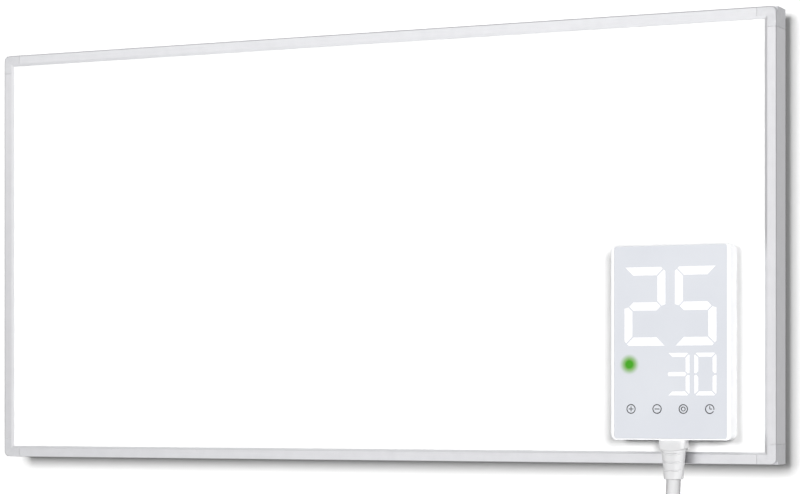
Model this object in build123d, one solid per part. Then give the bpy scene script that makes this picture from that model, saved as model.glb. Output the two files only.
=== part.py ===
"""Infrared panel heater on a wall rail, with a control unit on its face and a hanging mains cord.

Millimetres. X to the right, Z up, the heater faces -Y and the wall is the plane Y = 0.
The origin is on the wall side of the wall rail, midway between its two screw holes.
Distances off the wall are written as positive depths, so a depth d lies at Y = -d.
"""
from build123d import *
import math
import os

os.makedirs("parts", exist_ok=True)

# ---------------------------------------------------------------- driving dimensions
# Panel and frame
panel_width = 600.0
panel_height = 300.0
rail_below_panel_top = 75.0         # wall rail's screw line to the panel's top edge
wall_gap = 14.0                     # wall to the back of the frame
frame_depth = 20.0
web_wall = 1.4                      # outer wall of the frame bars
lip_width = 8.0                     # face of the frame, outer edge to inner edge
lip_flat = 6.2                      # flat part of that face, the rest is a bevel
lip_thickness = 1.2
bevel_drop = 0.5
rib_wall = 1.2                      # rib behind the plate and inner wall of the chamber
back_wall = 0.8                     # wall that the back cover is screwed to
edge_round = 0.8                    # rounded outer edge of the face
corner_radius = 4.0
corner_round_depth = 3.0            # how deep the corners are rounded, behind which they are square
cap_leg = 13.3                      # length of a corner cap's legs
joint_gap = 0.15                    # gap at a corner cap's two joint lines
key_leg = 42.0
key_clearance = 0.2

# Plate, element and insulation
plate_thickness = 1.2
plate_edge_clearance = 1.0          # room for the plate to grow inside its groove
plate_groove_clearance = 0.2
film_thickness = 0.4
film_inset = 18.0                   # frame's outer edge to the film's edge
busbar_width = 12.0
busbar_thickness = 0.2
foil_thickness = 0.3
fill_clearance = 0.6                # foil and insulation to the frame bars
cover_thickness = 0.8
cover_clearance = 0.2
cover_screw_radius = 1.45
cover_screw_head_radius = 3.0
cover_screw_head_height = 1.8
cover_screw_length = 6.0
cover_screws_across = 5             # screws along the top and along the bottom
cover_screws_up = 2                 # screws along each side, between the corners
cover_screws_reach = 0.9            # share of the half width that the outer screws stand at
cover_side_screws_reach = 0.4       # the same for the screws on the sides
cutout_radius = 8.0
cutout_height = 6.0
cutout_flange_radius = 11.0
cutout_flange_thickness = 0.8
cutout_share = 0.25                 # cut-outs off the panel's centre, as a share of its width
cutout_tab_near = 3.0               # each of its tabs, from its middle
cutout_tab_far = 3.8
cutout_tab_half_width = 2.0
pocket_clearance = 1.5              # insulation to whatever is let into it
lead_radius = 1.2
lead_bend = 6.0
lead_gap = 0.8                      # between neighbouring leads
lead_depth_in_fill = 6.0            # leads in front of the back cover's inner face
lead_row_below_unit_top = 30.0
lead_end_share = 0.8                # bend at a busbar, as a share of the run behind it
busbar_terminal_depth = 4.0
busbar_terminal_size = 7.0
grommet_wall = 1.1
grommet_flange = 1.5
film_hole_margin = 1.0              # hole for the leads in the element and foil, round the plate's
earth_stud_radius = 2.0
earth_nut_flats = 7.0
earth_nut_height = 3.0
lug_thickness = 0.8
lug_radius = 4.5
lug_tongue = 4.0
earth_collar_radius = 3.4
stud_above_leads = 30.0
stud_end = 1.0                      # stud that shows past its nut

# Wall rail, hanger rail and pads
rail_thickness = 2.0
rail_edge_share = 0.2               # rounding of the sheet's edges, as a share of its thickness
wall_rail_length = 300.0
wall_hole_spacing = 240.0
wall_hole_radius = 2.75
rail_below_holes = 12.0
rail_step_height = 12.0             # screw line to the underside of the step
cleat_clearance = 0.3
tongue_height = 14.0                # wall rail's tongue above the step
hook_gap = 2.0                      # hanger rail's tongue to the step below it
hanger_rail_length = 260.0
hanger_flange_height = 26.0
rivet_count = 4
rivet_pitch = 70.0
rivet_radius = 1.6
rivet_head_radius = 3.4
rivet_head_height = 1.1
rivet_tail_radius = 2.4
rivet_tail_length = 3.0
fit_clearance = 0.05                # screws, rivets and studs in their holes
head_round_share = 0.35             # rounding of a screw's head, as a share of its height
pad_radius = 9.0
pad_from_side = 45.0
pad_above_bottom = 32.0
pad_rim_round = 1.0

# Control unit
unit_width = 83.0
unit_height = 129.0
unit_from_right = 25.5              # panel's right edge to the unit's right edge
unit_above_bottom = 16.0            # panel's bottom edge to the unit's bottom edge
spacer_length = 3.0
spacer_radius = 4.0
base_thickness = 2.0
base_inset = 5.0                    # base plate's edge inside the unit's outline
base_hole_inset = 8.0
base_screw_radius = 1.5
base_screw_head_radius = 2.9
base_screw_head_height = 1.2
unit_depth = 14.0
unit_corner_radius = 4.0
shell_wall = 1.8
shell_edge_round = 1.2
least_corner = 0.8                  # smallest corner radius inside the case
bezel_depth = 4.0
bezel_side = 2.5
bezel_end = 1.0
bezel_round_share = 0.6             # rounding of its rim, as a share of its end walls
bezel_ledge = 2.0
bezel_tongue = 1.2
bezel_tongue_wall = 0.9
bezel_pocket_radius = 2.0
bezel_opening_radius = 1.0
snap_clearance = 0.1
face_plate_thickness = 1.8
face_plate_recess = 0.2
face_plate_clearance = 0.1
face_plate_radius = 1.9
lead_hole_radius = 6.0
vent_slot_width = 1.4
vent_slot_length = 12.0
vent_slot_count = 4
vent_slot_pitch = 16.0

# Display: rows of the face from the top edge down, with the big digits in what the rest leaves
window_depth = 0.6
big_digit_width = 29.4
big_digit_stroke = 6.4
big_digit_top = 14.5
big_digit_spacing = 35.2            # centre to centre
small_digit_width = 16.0
small_digit_height = 28.8
small_digit_stroke = 3.5
digit_row_gap = 4.0                 # big digits to small digits
small_digit_spacing = 18.5
small_digits_right = 32.3           # right edge of the small digits off the centre line
segment_gap = 0.8
digit_corner_share = 0.5            # bevel where two lit bars meet, as a share of the stroke
bar_tip_share = 0.15                # how far a standing bar's tip is bevelled, as a share of the stroke
free_end_share = 0.25               # point of the middle bar where nothing is lit beside it
status_radius = 3.3
status_left = 28.5                  # status light's centre left of the centre line
status_above_marks = 29.5
mark_radius = 3.2
mark_line = 0.65
mark_depth = 0.3
mark_spacing = 18.2
mark_above_bottom = 20.4
small_digits_above_marks = 8.5      # centre line of the marks to the small digits
sign_share = 0.52                   # plus and minus in their rings, as a share of the mark
dial_share = 0.5                    # dial in the third mark, as a share of the mark
fine_line_share = 0.9               # lines inside the rings, as a share of the rings' line
minute_hand_share = 0.6
hour_hand_share = 0.5
notch_share = 0.3                   # notch in the clock's ring: its height, and how far it lies below

# Electronics
board_thickness = 1.2
board_side_clearance = 3.0
board_top_clearance = 4.0
board_above_unit_bottom = 19.0
board_boss_radius = 2.6
board_screw_radius = 1.0
board_screw_head_radius = 2.0
board_screw_head_height = 1.2
board_hole_inset = 4.5
board_hole_rows = 3.6               # screw holes to the board's upper and lower edges
display_depth = 2.2                 # board to face plate
display_width = 66.0
display_row_clearance = 3.6         # display to the board's upper screws
display_film_clearance = 1.1        # display to the touch film
film_layer = 0.2                    # touch film behind the face plate
touch_film_width = 68.0
touch_film_height = 12.0
converter_width = 26.0
converter_height = 22.0
converter_depth = 5.6
converter_right = 8.0               # its left side, right of the unit's centre line
converter_above_bottom = 62.0
capacitor_radius = 2.6
capacitor_length = 14.0
capacitor_edge_round = 0.4
capacitor_right = 10.0
capacitor_above_bottom = 50.0
fuse_radius = 2.2
fuse_glass_share = 0.9              # radius of the glass, as a share of the caps'
fuse_length = 20.0
fuse_cap_length = 5.0
fuse_left = 34.0                    # its left end, left of the unit's centre line
fuse_above_bottom = 74.0
terminal_pitch = 5.0
terminal_poles = 6
terminal_height = 9.0
terminal_depth = 5.6
terminal_above_bottom = 28.0
terminal_screw_share = 0.3          # screw well's radius, as a share of the pitch
terminal_well_depth = 1.0
lead_to_shell_gap = 0.4
sensor_radius = 1.4
sensor_length = 6.0
sensor_from_side = 3.0              # board's left edge to the bead
sensor_end_round = 0.5

# Relay, on the back of the board
relay_width = 28.0
relay_height = 15.0
relay_floor = 1.0
relay_left = 34.5                   # its left end, left of the unit's centre line
relay_above_bottom = 46.0
yoke_from_end = 1.0
yoke_thickness = 1.2
coil_to_floor = 0.4
coil_from_end = 4.0
coil_radius = 2.1
coil_winding_radius = 1.7
coil_flange_thickness = 0.8
core_radius = 0.9
core_reach = 0.6                    # core that stands out of the winding
coil_length = 12.0
armature_thickness = 0.8
armature_width = 7.0
armature_open_deg = 4.0
armature_rest_gap = 0.05            # armature to core when it is pulled in
knife_clearance = 0.15
leaf_thickness = 0.4
leaf_half_width = 2.5
leaf_gap = 1.2                      # armature to the first leaf
leaf_pitch = 2.4
leaf_step = 0.6                     # the second leaf is shorter by this
contact_radius = 1.0
contact_from_tip = 1.8
contact_start = 0.2
contact_end = 1.0

# Cord entry and cord
cord_diameter = 9.5
cord_bore_clearance = 0.05
collar_width = 18.3
collar_depth = 12.0
collar_height = 5.6
boot_top_width = 16.2
boot_bottom_width = 12.8
boot_top_depth = 11.6
boot_bottom_depth = 11.2
boot_length = 20.0
boot_groove_depth = 0.5
boot_groove_height = 0.7
boot_groove_pitch = 5.6
boot_groove_count = 3
boot_groove_start = 0.58            # first groove below the collar, in pitches
boot_round_share = 0.46             # corner radius of the boot, as a share of its depth
collar_round_share = 0.42
neck_round_share = 0.4
boot_neck_width = 14.5
boot_neck_depth = 10.1
boot_flange_height = 2.0
flange_inset = 1.0                  # flange inside the case, narrower than the collar
boot_opening_height = 3.0
boot_side_room = 1.0
clamp_height = 6.0
clamp_inner_x = 3.4                 # each jaw from the cord's axis: near side, far side, screw
clamp_outer_x = 12.0
clamp_screw_x = 9.2
clamp_screw_end = 0.3               # screw's end short of the shell's floor
clamp_screw_radius = 1.2
clamp_screw_head_radius = 2.3
clamp_screw_head_height = 1.4
clamp_above_bottom = 6.0
jacket_above_bottom = 16.0
conductor_radius = 1.3
conductor_pitch = 2.9

# Free cord: a straight drop, one bend, a tied coil and a short tail to the plug
drop_run = 62.0
drop_bend_share = 0.45              # bend's share of the shorter of its two runs
coil_outer_radius = 64.0            # centre line of the coil's outer turn
turn_gap = 0.7                      # between neighbouring turns
coil_start_deg = 135.0
coil_in_deg = 810.0
coil_climb_deg = 180.0
coil_out_deg = 855.0
coil_ease_deg = 30.0
coil_step_deg = 90.0
tail_run = 25.0
tie_at_deg = 60.0
tie_width = 12.0
tie_thickness = 1.2
tie_clearance = 0.3
measure_step = 2.0                  # spacing of the points that the coil is measured on

# Plug
plug_boot_length = 35.0
plug_boot_top_radius = 6.4
plug_boot_end_radius = 8.6
plug_boot_grooves = 4
plug_groove_share = 0.18            # half of a groove, as a share of the pitch
plug_groove_depth = 0.8
plug_neck_radius = 11.0
plug_neck_round = 1.5
plug_face_radius = 18.8
plug_body_length = 38.0
plug_skirt = 14.0
pin_radius = 2.4
pin_length = 19.0
pin_spacing = 19.0
pin_tip_share = 0.4                 # tip's rounding, as a share of the radius
pin_root_radius = 3.0               # thicker end of the pin inside the plug
pin_root = 12.0
clip_width = 6.0
clip_thickness = 0.8
clip_length = 12.0

# ---------------------------------------------------------------- places worked out from them
over = 1.0                          # cuts run past the material by this
near = 1e-3                         # two places count as one within this
panel_centre_z = rail_below_panel_top - panel_height / 2
bottom_z = panel_centre_z - panel_height / 2
back_d = wall_gap
front_d = wall_gap + frame_depth
corner_step_d = front_d - corner_round_depth
plate_front_d = front_d - lip_thickness
plate_back_d = plate_front_d - plate_thickness
rib_front_d = plate_back_d - plate_groove_clearance
rib_back_d = rib_front_d - rib_wall
seat_d = back_d + cover_thickness               # where the back cover lies on the frame
chamber_back_d = seat_d + back_wall
chamber_wall_u = lip_width - rib_wall
film_back_d = plate_back_d - film_thickness
foil_front_d = film_back_d - busbar_thickness
foil_back_d = foil_front_d - foil_thickness

unit_centre_x = panel_width / 2 - unit_from_right - unit_width / 2
unit_bottom_z = bottom_z + unit_above_bottom
unit_top_z = unit_bottom_z + unit_height
unit_centre_z = unit_bottom_z + unit_height / 2
base_back_d = plate_front_d + spacer_length
shell_back_d = base_back_d + base_thickness
unit_front_d = shell_back_d + unit_depth
bezel_back_d = unit_front_d - bezel_depth
cavity_back_d = shell_back_d + shell_wall
face_front_d = unit_front_d - face_plate_recess
face_back_d = face_front_d - face_plate_thickness
touch_back_d = face_back_d - film_layer
face_width = unit_width - 2 * bezel_side
face_height = unit_height - 2 * bezel_end

# Rows of the face, up from the unit's centre
mark_z = mark_above_bottom - unit_height / 2
status_z = mark_z + status_above_marks
small_digit_z = mark_z + small_digits_above_marks + small_digit_height / 2
big_digit_foot_z = small_digit_z + small_digit_height / 2 + digit_row_gap
big_digit_height = unit_height / 2 - big_digit_top - big_digit_foot_z
big_digit_z = big_digit_foot_z + big_digit_height / 2

# Board and what is on it
board_front_d = face_back_d - display_depth
board_back_d = board_front_d - board_thickness
board_width = unit_width - 2 * (shell_wall + board_side_clearance)
board_bottom_z = unit_bottom_z + board_above_unit_bottom
board_top_z = unit_top_z - shell_wall - board_top_clearance
display_top_z = board_top_z - board_hole_rows - display_row_clearance
display_foot_z = unit_centre_z + mark_z + touch_film_height / 2 + display_film_clearance
terminal_z = unit_bottom_z + terminal_above_bottom
relay_x = unit_centre_x - relay_left
relay_z = unit_bottom_z + relay_above_bottom
relay_floor_d = board_back_d - relay_floor
relay_axis_d = relay_floor_d - coil_radius - coil_to_floor
relay_core_z = relay_z + relay_height / 2
relay_coil_x = relay_x + coil_from_end
core_end_x = relay_coil_x + coil_length + core_reach
armature_swing = (relay_floor_d - relay_axis_d + core_radius) * math.tan(math.radians(armature_open_deg))
armature_x = core_end_x + armature_swing + armature_rest_gap
armature_back_d = relay_axis_d - coil_radius

# Leads, element and earth stud
lead_x = unit_centre_x
lead_row_z = unit_top_z - lead_row_below_unit_top
lead_pitch = 2 * lead_radius + lead_gap
lead_d = seat_d + lead_depth_in_fill
inner_lead_d = cavity_back_d + lead_radius + lead_to_shell_gap
lead_channel = lead_radius + pocket_clearance
cutout_offset = panel_width * cutout_share
busbar_x = panel_width / 2 - film_inset - busbar_width / 2
stud_z = lead_row_z + stud_above_leads
stud_shoulder_d = lead_d - lug_thickness / 2
earth_nut_d = stud_shoulder_d + lug_thickness

# Rails
step_d = rail_thickness + 2 * cleat_clearance + rail_thickness     # wall rail tongue's back
hook_top_z = rail_step_height + rail_thickness + tongue_height
hook_length = tongue_height - hook_gap
rivet_z = hook_top_z + rail_thickness - hanger_flange_height / 2

# Cord entry
cord_radius = cord_diameter / 2
cord_x = unit_centre_x
cord_d = (cavity_back_d + touch_back_d) / 2
boot_top_z = unit_bottom_z - collar_height
boot_bottom_z = boot_top_z - boot_length
clamp_z = unit_bottom_z + clamp_above_bottom
clamp_front_d = bezel_back_d - bezel_tongue

# Free cord
turn_pitch = cord_diameter + turn_gap
coil_middle_deg = coil_start_deg + coil_in_deg + coil_climb_deg / 2
coil_end_deg = coil_start_deg + coil_in_deg + coil_climb_deg + coil_out_deg
start_lean = math.radians(coil_start_deg - 90)
knee_z = boot_bottom_z - drop_run
coil_centre_z = knee_z - coil_outer_radius / math.cos(start_lean)


# ---------------------------------------------------------------- small helpers
def block(x0, x1, d0, d1, z0, z1):
    """A box between two X, two depths off the wall and two Z."""
    size = Box(abs(x1 - x0), abs(d1 - d0), abs(z1 - z0))
    return Pos((x0 + x1) / 2, -(d0 + d1) / 2, (z0 + z1) / 2) * size


def slab(sketch, d0, d1, x=0.0, z=0.0):
    """A sketch in the panel's plane, made solid between two depths off the wall."""
    plane = Plane(origin=(x, -min(d0, d1), z), x_dir=(1, 0, 0), z_dir=(0, -1, 0))
    return extrude(plane * sketch, abs(d1 - d0))


def pin_y(radius, x, z, d0, d1):
    """A cylinder that stands square to the wall between two depths."""
    return slab(Circle(radius), d0, d1, x, z)


def pin_z(radius, x, d, z0, z1):
    """An upright cylinder."""
    return Pos(x, -d, (z0 + z1) / 2) * Cylinder(radius, abs(z1 - z0))


def pin_x(radius, d, z, x0, x1):
    """A cylinder along the panel's width."""
    return Pos((x0 + x1) / 2, -d, z) * Rot(0, 90, 0) * Cylinder(radius, abs(x1 - x0))


def level(sketch, z0, z1, x=0.0, d=0.0):
    """A horizontal sketch, made solid between two heights."""
    return extrude(Plane(origin=(x, -d, min(z0, z1))) * sketch, abs(z1 - z0))


def tube_along(points, radius, bends):
    """A round wire or cord along straight runs joined by tangent arcs."""
    path = FilletPolyline(*points, radius=bends)
    start = Plane(origin=path @ 0, z_dir=path % 0)
    return sweep(start * Circle(radius), path=path), path


def group(shapes):
    """Separate solids that share one node."""
    return Compound(children=[s for shape in shapes for s in shape.solids()])


# ---------------------------------------------------------------- frame
def bar_section():
    """Section of a frame bar: first axis inwards from the outer face, second off the wall."""
    outline = Polyline(
        (0, front_d), (lip_flat, front_d), (lip_width, front_d - bevel_drop),
        (lip_width, plate_front_d), (web_wall, plate_front_d), (web_wall, rib_front_d),
        (lip_width, rib_front_d), (lip_width, seat_d), (web_wall, seat_d),
        (web_wall, back_d), (0, back_d), close=True)
    section = make_face(outline)
    edge = section.vertices().sort_by_distance((0, front_d))[0]
    section = fillet(edge, edge_round)
    chamber = Pos((web_wall + chamber_wall_u) / 2, (chamber_back_d + rib_back_d) / 2)
    return section - chamber * Rectangle(chamber_wall_u - web_wall, rib_back_d - chamber_back_d)


def corner_square(sx, sz, leg):
    """Square at one corner of the panel, seen from the front, with sx, sz = +1 or -1."""
    x = sx * (panel_width / 2 - leg / 2)
    z = panel_centre_z + sz * (panel_height / 2 - leg / 2)
    return Pos(x, z) * Rectangle(leg, leg)


def panel_outline(inset, radius):
    """Outline of the panel, drawn in by inset."""
    shape = RectangleRounded(panel_width - 2 * inset, panel_height - 2 * inset, radius)
    return Pos(0, panel_centre_z) * shape


def sharp_outline(inset):
    """Outline of the panel with square corners, drawn in by inset."""
    return Pos(0, panel_centre_z) * Rectangle(panel_width - 2 * inset, panel_height - 2 * inset)


def rounded_envelope():
    """The frame's outer form, which the corner caps are cut to: square, with rounded corners in front."""
    body = slab(sharp_outline(0), back_d, corner_step_d)
    body += slab(panel_outline(0, corner_radius), corner_step_d, front_d)
    rim = body.faces().sort_by(Axis.Y)[0].edges()
    return fillet(rim, edge_round)


def corner_cap(sx, sz):
    """Corner piece: the frame's outer wall and the flat of its face, round the corner."""
    zone = corner_square(sx, sz, cap_leg)
    outer = sharp_outline(0)
    wall = (outer - panel_outline(web_wall, corner_radius - web_wall)) & zone
    face = (outer - sharp_outline(lip_flat)) & zone
    cap = slab(wall, back_d, front_d) + slab(face, plate_front_d, front_d)
    return cap & rounded_envelope()


def cap_seat(sx, sz):
    """What a corner cap and its joint gaps take out of the bars."""
    zone = corner_square(sx, sz, cap_leg + joint_gap)
    beyond = sharp_outline(-over)
    wall = (beyond - panel_outline(web_wall, corner_radius - web_wall)) & zone
    face = (beyond - sharp_outline(lip_flat)) & zone
    return slab(wall, back_d, front_d) + slab(face, plate_front_d, front_d)


def frame_bars():
    """Four mitred bars, cut back at the corners for the caps."""
    w, h, m = panel_width / 2, panel_height / 2, lip_width
    z = panel_centre_z
    section = bar_section()
    places = {
        "frame_bottom": (Plane((-w, 0, z - h), x_dir=(0, 0, 1), z_dir=(1, 0, 0)), panel_width,
                         [(-w, z - h), (w, z - h), (w - m, z - h + m), (-w + m, z - h + m)]),
        "frame_top": (Plane((w, 0, z + h), x_dir=(0, 0, -1), z_dir=(-1, 0, 0)), panel_width,
                      [(-w, z + h), (-w + m, z + h - m), (w - m, z + h - m), (w, z + h)]),
        "frame_left": (Plane((-w, 0, z + h), x_dir=(1, 0, 0), z_dir=(0, 0, -1)), panel_height,
                       [(-w, z - h), (-w + m, z - h + m), (-w + m, z + h - m), (-w, z + h)]),
        "frame_right": (Plane((w, 0, z - h), x_dir=(-1, 0, 0), z_dir=(0, 0, 1)), panel_height,
                        [(w, z - h), (w, z + h), (w - m, z + h - m), (w - m, z - h + m)]),
    }
    seats = [cap_seat(sx, sz) for sx in (-1, 1) for sz in (-1, 1)]
    bars = {}
    for name, (plane, length, mitre) in places.items():
        bar = extrude(plane * section, length)
        bar = bar & slab(make_face(Polyline(*mitre, close=True)), back_d - over, front_d + over)
        for seat in seats:
            bar = bar - seat
        for x, screw_z in cover_screw_places():
            bar = bar - pin_y(cover_screw_radius + fit_clearance, x, screw_z,
                              seat_d - over, chamber_back_d + over)
        bars[name] = bar
    return bars


def corner_keys():
    """Angle pieces inside the frame's chambers that hold the bars together."""
    inner = web_wall + key_clearance
    width = chamber_wall_u - web_wall - 2 * key_clearance
    keys = []
    for sx in (-1, 1):
        for sz in (-1, 1):
            zone = corner_square(sx, sz, inner + key_leg)
            ring = panel_outline(inner, corner_radius - inner) - sharp_outline(inner + width)
            key = slab(ring & zone, chamber_back_d + cover_screw_length, rib_back_d - key_clearance)
            keys.append(key)
    return group(keys)


def cover_screw_places():
    """X and Z of the back cover's screws, over the middle of the frame's chamber."""
    u = (web_wall + chamber_wall_u) / 2
    reach_x = panel_width / 2 - u
    reach_z = panel_height / 2 - u
    places = []
    for i in range(cover_screws_across):
        x = reach_x * cover_screws_reach * (2 * i / (cover_screws_across - 1) - 1)
        places += [(x, panel_centre_z + reach_z), (x, panel_centre_z - reach_z)]
    for i in range(cover_screws_up):
        z = panel_centre_z + reach_z * cover_side_screws_reach * (2 * i / (cover_screws_up - 1) - 1)
        places += [(-reach_x, z), (reach_x, z)]
    return places


# ---------------------------------------------------------------- plate, element, insulation, back
def heating_plate():
    """Coated front plate, held in the groove of the frame."""
    inset = web_wall + plate_edge_clearance
    plate = slab(sharp_outline(inset), plate_back_d, plate_front_d)
    return plate - pin_y(lead_hole_radius, lead_x, lead_row_z, plate_back_d - over, plate_front_d + over)


def heating_film():
    """Printed element glued to the back of the plate."""
    film = slab(sharp_outline(film_inset), film_back_d, plate_back_d)
    return film - pin_y(lead_hole_radius + film_hole_margin, lead_x, lead_row_z,
                        film_back_d - over, plate_back_d + over)


def heater_busbars():
    """Two strips down the short edges of the element."""
    half = panel_height / 2 - film_inset
    bars = []
    for side in (-1, 1):
        x = side * busbar_x
        bars.append(block(x - busbar_width / 2, x + busbar_width / 2, foil_front_d, film_back_d,
                          panel_centre_z - half, panel_centre_z + half))
    return group(bars)


def busbar_terminals():
    """Tabs riveted to the strips, where the leads arrive."""
    half = busbar_terminal_size / 2
    tabs = [block(side * busbar_x - half, side * busbar_x + half,
                  foil_front_d - busbar_terminal_depth, foil_front_d,
                  lead_row_z - half, lead_row_z + half) for side in (-1, 1)]
    return group(tabs)


def terminal_windows(d0, d1):
    """Room round the two busbar tabs."""
    half = busbar_terminal_size / 2 + pocket_clearance
    return [block(side * busbar_x - half, side * busbar_x + half, d0, d1,
                  lead_row_z - half, lead_row_z + half) for side in (-1, 1)]


def reflector_foil():
    """Foil behind the element, which sends the heat to the front."""
    foil = slab(sharp_outline(lip_width + fill_clearance), foil_back_d, foil_front_d)
    for window in terminal_windows(foil_back_d - over, foil_front_d + over):
        foil -= window
    return foil - pin_y(lead_hole_radius + film_hole_margin, lead_x, lead_row_z,
                        foil_back_d - over, foil_front_d + over)


def insulation_board():
    """Board that fills the frame, with pockets for what is let into it."""
    board = slab(sharp_outline(lip_width + fill_clearance), seat_d, foil_back_d)
    groove_back_d = lead_d - lead_channel
    board -= block(-busbar_x, busbar_x, groove_back_d, lead_d + lead_channel,
                   lead_row_z - lead_channel, lead_row_z + lead_channel)
    board -= block(lead_x - lead_channel, lead_x + lead_channel, groove_back_d, lead_d + lead_channel,
                   lead_row_z, stud_z)
    for side in (-1, 1):
        board -= pin_y(cutout_flange_radius + pocket_clearance, side * cutout_offset, lead_row_z,
                       groove_back_d, foil_back_d + over)
    for window in terminal_windows(groove_back_d, foil_back_d + over):
        board -= window
    board -= pin_y(lead_hole_radius + film_hole_margin, lead_x, lead_row_z,
                   groove_back_d, foil_back_d + over)
    board -= pin_y(lug_radius + pocket_clearance, lead_x, stud_z, seat_d - over,
                   earth_nut_d + earth_nut_height + pocket_clearance)
    for x in rivet_xs():
        board -= pin_y(rivet_tail_radius + pocket_clearance / 2, x, rivet_z, seat_d - over,
                       seat_d + rivet_tail_length + pocket_clearance / 2)
    return board


def back_cover():
    """Sheet that closes the back, flush with the frame."""
    inset = web_wall + cover_clearance
    cover = slab(panel_outline(inset, corner_radius - inset), back_d, seat_d)
    for x, z in cover_screw_places():
        cover -= pin_y(cover_screw_radius + fit_clearance, x, z, back_d - over, seat_d + over)
    for x in rivet_xs():
        cover -= pin_y(rivet_radius + fit_clearance, x, rivet_z, back_d - over, seat_d + over)
    return cover - pin_y(earth_stud_radius + fit_clearance, lead_x, stud_z, back_d - over, seat_d + over)


def headed_screw(x, z, seat, tip, radius, head_radius, head_height):
    """A round-headed screw square to the wall: its head's underside at seat, its end at tip."""
    way = 1 if tip > seat else -1
    screw = pin_y(radius, x, z, seat, tip) + pin_y(head_radius, x, z, seat, seat - way * head_height)
    rim = screw.edges().filter_by(GeomType.CIRCLE).filter_by(
        lambda edge: abs(edge.center().Y + seat - way * head_height) < near)
    return fillet(rim, head_height * head_round_share)


def back_cover_screws():
    """Screws round the edge of the back cover."""
    return group([headed_screw(x, z, back_d, back_d + cover_screw_length, cover_screw_radius,
                               cover_screw_head_radius, cover_screw_head_height)
                  for x, z in cover_screw_places()])


def thermal_cutouts():
    """Two disc cut-outs that rest on the foil and switch off if the panel overheats."""
    cutouts = []
    flange_d = foil_back_d - cutout_flange_thickness
    body_d = flange_d - cutout_height
    for side in (-1, 1):
        x = side * cutout_offset
        body = pin_y(cutout_flange_radius, x, lead_row_z, flange_d, foil_back_d)
        body += pin_y(cutout_radius, x, lead_row_z, body_d, flange_d)
        for tab in (-1, 1):
            body += block(x + tab * cutout_tab_near, x + tab * cutout_tab_far,
                          lead_d - cutout_tab_half_width, body_d,
                          lead_row_z - cutout_tab_half_width, lead_row_z + cutout_tab_half_width)
        cutouts.append(body)
    return group(cutouts)


def element_leads():
    """Leads from the control unit to the cut-outs, the busbars and the earth stud."""
    tab = cutout_tab_far
    end_d = foil_front_d - busbar_terminal_depth
    end_bend = min(lead_bend, (end_d - lead_d) * lead_end_share)
    leads = []
    for offset, role in ((-lead_pitch, "live"), (0.0, "earth"), (lead_pitch, "neutral")):
        x = lead_x + offset
        points = [(x, -inner_lead_d, terminal_z + terminal_height), (x, -inner_lead_d, lead_row_z),
                  (x, -lead_d, lead_row_z)]
        if role == "live":
            points.append((cutout_offset + tab, -lead_d, lead_row_z))
        elif role == "neutral":
            points += [(busbar_x, -lead_d, lead_row_z), (busbar_x, -end_d, lead_row_z)]
        else:
            points.append((x, -lead_d, stud_z - lug_radius - lug_tongue))
        bends = [lead_bend] * (len(points) - 2)
        if role == "neutral":
            bends[-1] = end_bend
        leads.append(tube_along(points, lead_radius, bends)[0])
    leads.append(pin_x(lead_radius, lead_d, lead_row_z, -cutout_offset + tab, cutout_offset - tab))
    last = [(-cutout_offset - tab, -lead_d, lead_row_z), (-busbar_x, -lead_d, lead_row_z),
            (-busbar_x, -end_d, lead_row_z)]
    leads.append(tube_along(last, lead_radius, [end_bend])[0])
    return group(leads)


def earth_stud():
    """Stud on the back cover with the earth lead's lug and its nut."""
    nut_end_d = earth_nut_d + earth_nut_height
    stud = pin_y(earth_stud_radius, lead_x, stud_z, back_d, nut_end_d + stud_end)
    stud += pin_y(earth_collar_radius, lead_x, stud_z, seat_d, stud_shoulder_d)
    tongue = block(lead_x - lead_radius, lead_x + lead_radius, stud_shoulder_d, earth_nut_d,
                   stud_z - lug_radius - lug_tongue, stud_z)
    lug = pin_y(lug_radius, lead_x, stud_z, stud_shoulder_d, earth_nut_d) + tongue
    hole_radius = earth_stud_radius + fit_clearance
    lug -= pin_y(hole_radius, lead_x, stud_z, stud_shoulder_d - over, earth_nut_d + over)
    hexagon = RegularPolygon(earth_nut_flats / 2, 6, major_radius=False)
    nut = slab(hexagon - Circle(hole_radius), earth_nut_d, nut_end_d, lead_x, stud_z)
    return group([stud, lug, nut])


def lead_grommet():
    """Sleeve that carries the leads through the plate, up to the control unit's base."""
    sleeve = pin_y(lead_hole_radius - fit_clearance, lead_x, lead_row_z, foil_back_d, plate_front_d)
    sleeve += pin_y(lead_hole_radius + grommet_flange, lead_x, lead_row_z, plate_front_d, base_back_d)
    return sleeve - pin_y(lead_hole_radius - grommet_wall, lead_x, lead_row_z,
                          foil_back_d - over, base_back_d + over)


# ---------------------------------------------------------------- hanging on the wall
def rivet_xs():
    """X of the hanger rail's rivets."""
    return [(i - (rivet_count - 1) / 2) * rivet_pitch for i in range(rivet_count)]


def rail_section(points, x, length):
    """A rail of bent sheet, drawn as depth and height, with eased bends."""
    section = make_face(Polyline(*points, close=True))
    section = fillet(section.vertices(), rail_thickness * rail_edge_share)
    plane = Plane(origin=(x, 0, 0), x_dir=(0, -1, 0), z_dir=(-1, 0, 0))
    return extrude(plane * section, length)


def wall_rail():
    """Rail that is screwed to the wall, with an upright tongue."""
    t = rail_thickness
    points = [(0, -rail_below_holes), (t, -rail_below_holes), (t, rail_step_height),
              (step_d + t, rail_step_height), (step_d + t, hook_top_z), (step_d, hook_top_z),
              (step_d, rail_step_height + t), (0, rail_step_height + t)]
    rail = rail_section(points, wall_rail_length / 2, wall_rail_length)
    for side in (-1, 1):
        rail -= pin_y(wall_hole_radius, side * wall_hole_spacing / 2, 0, -1, t + over)
    return rail


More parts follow.
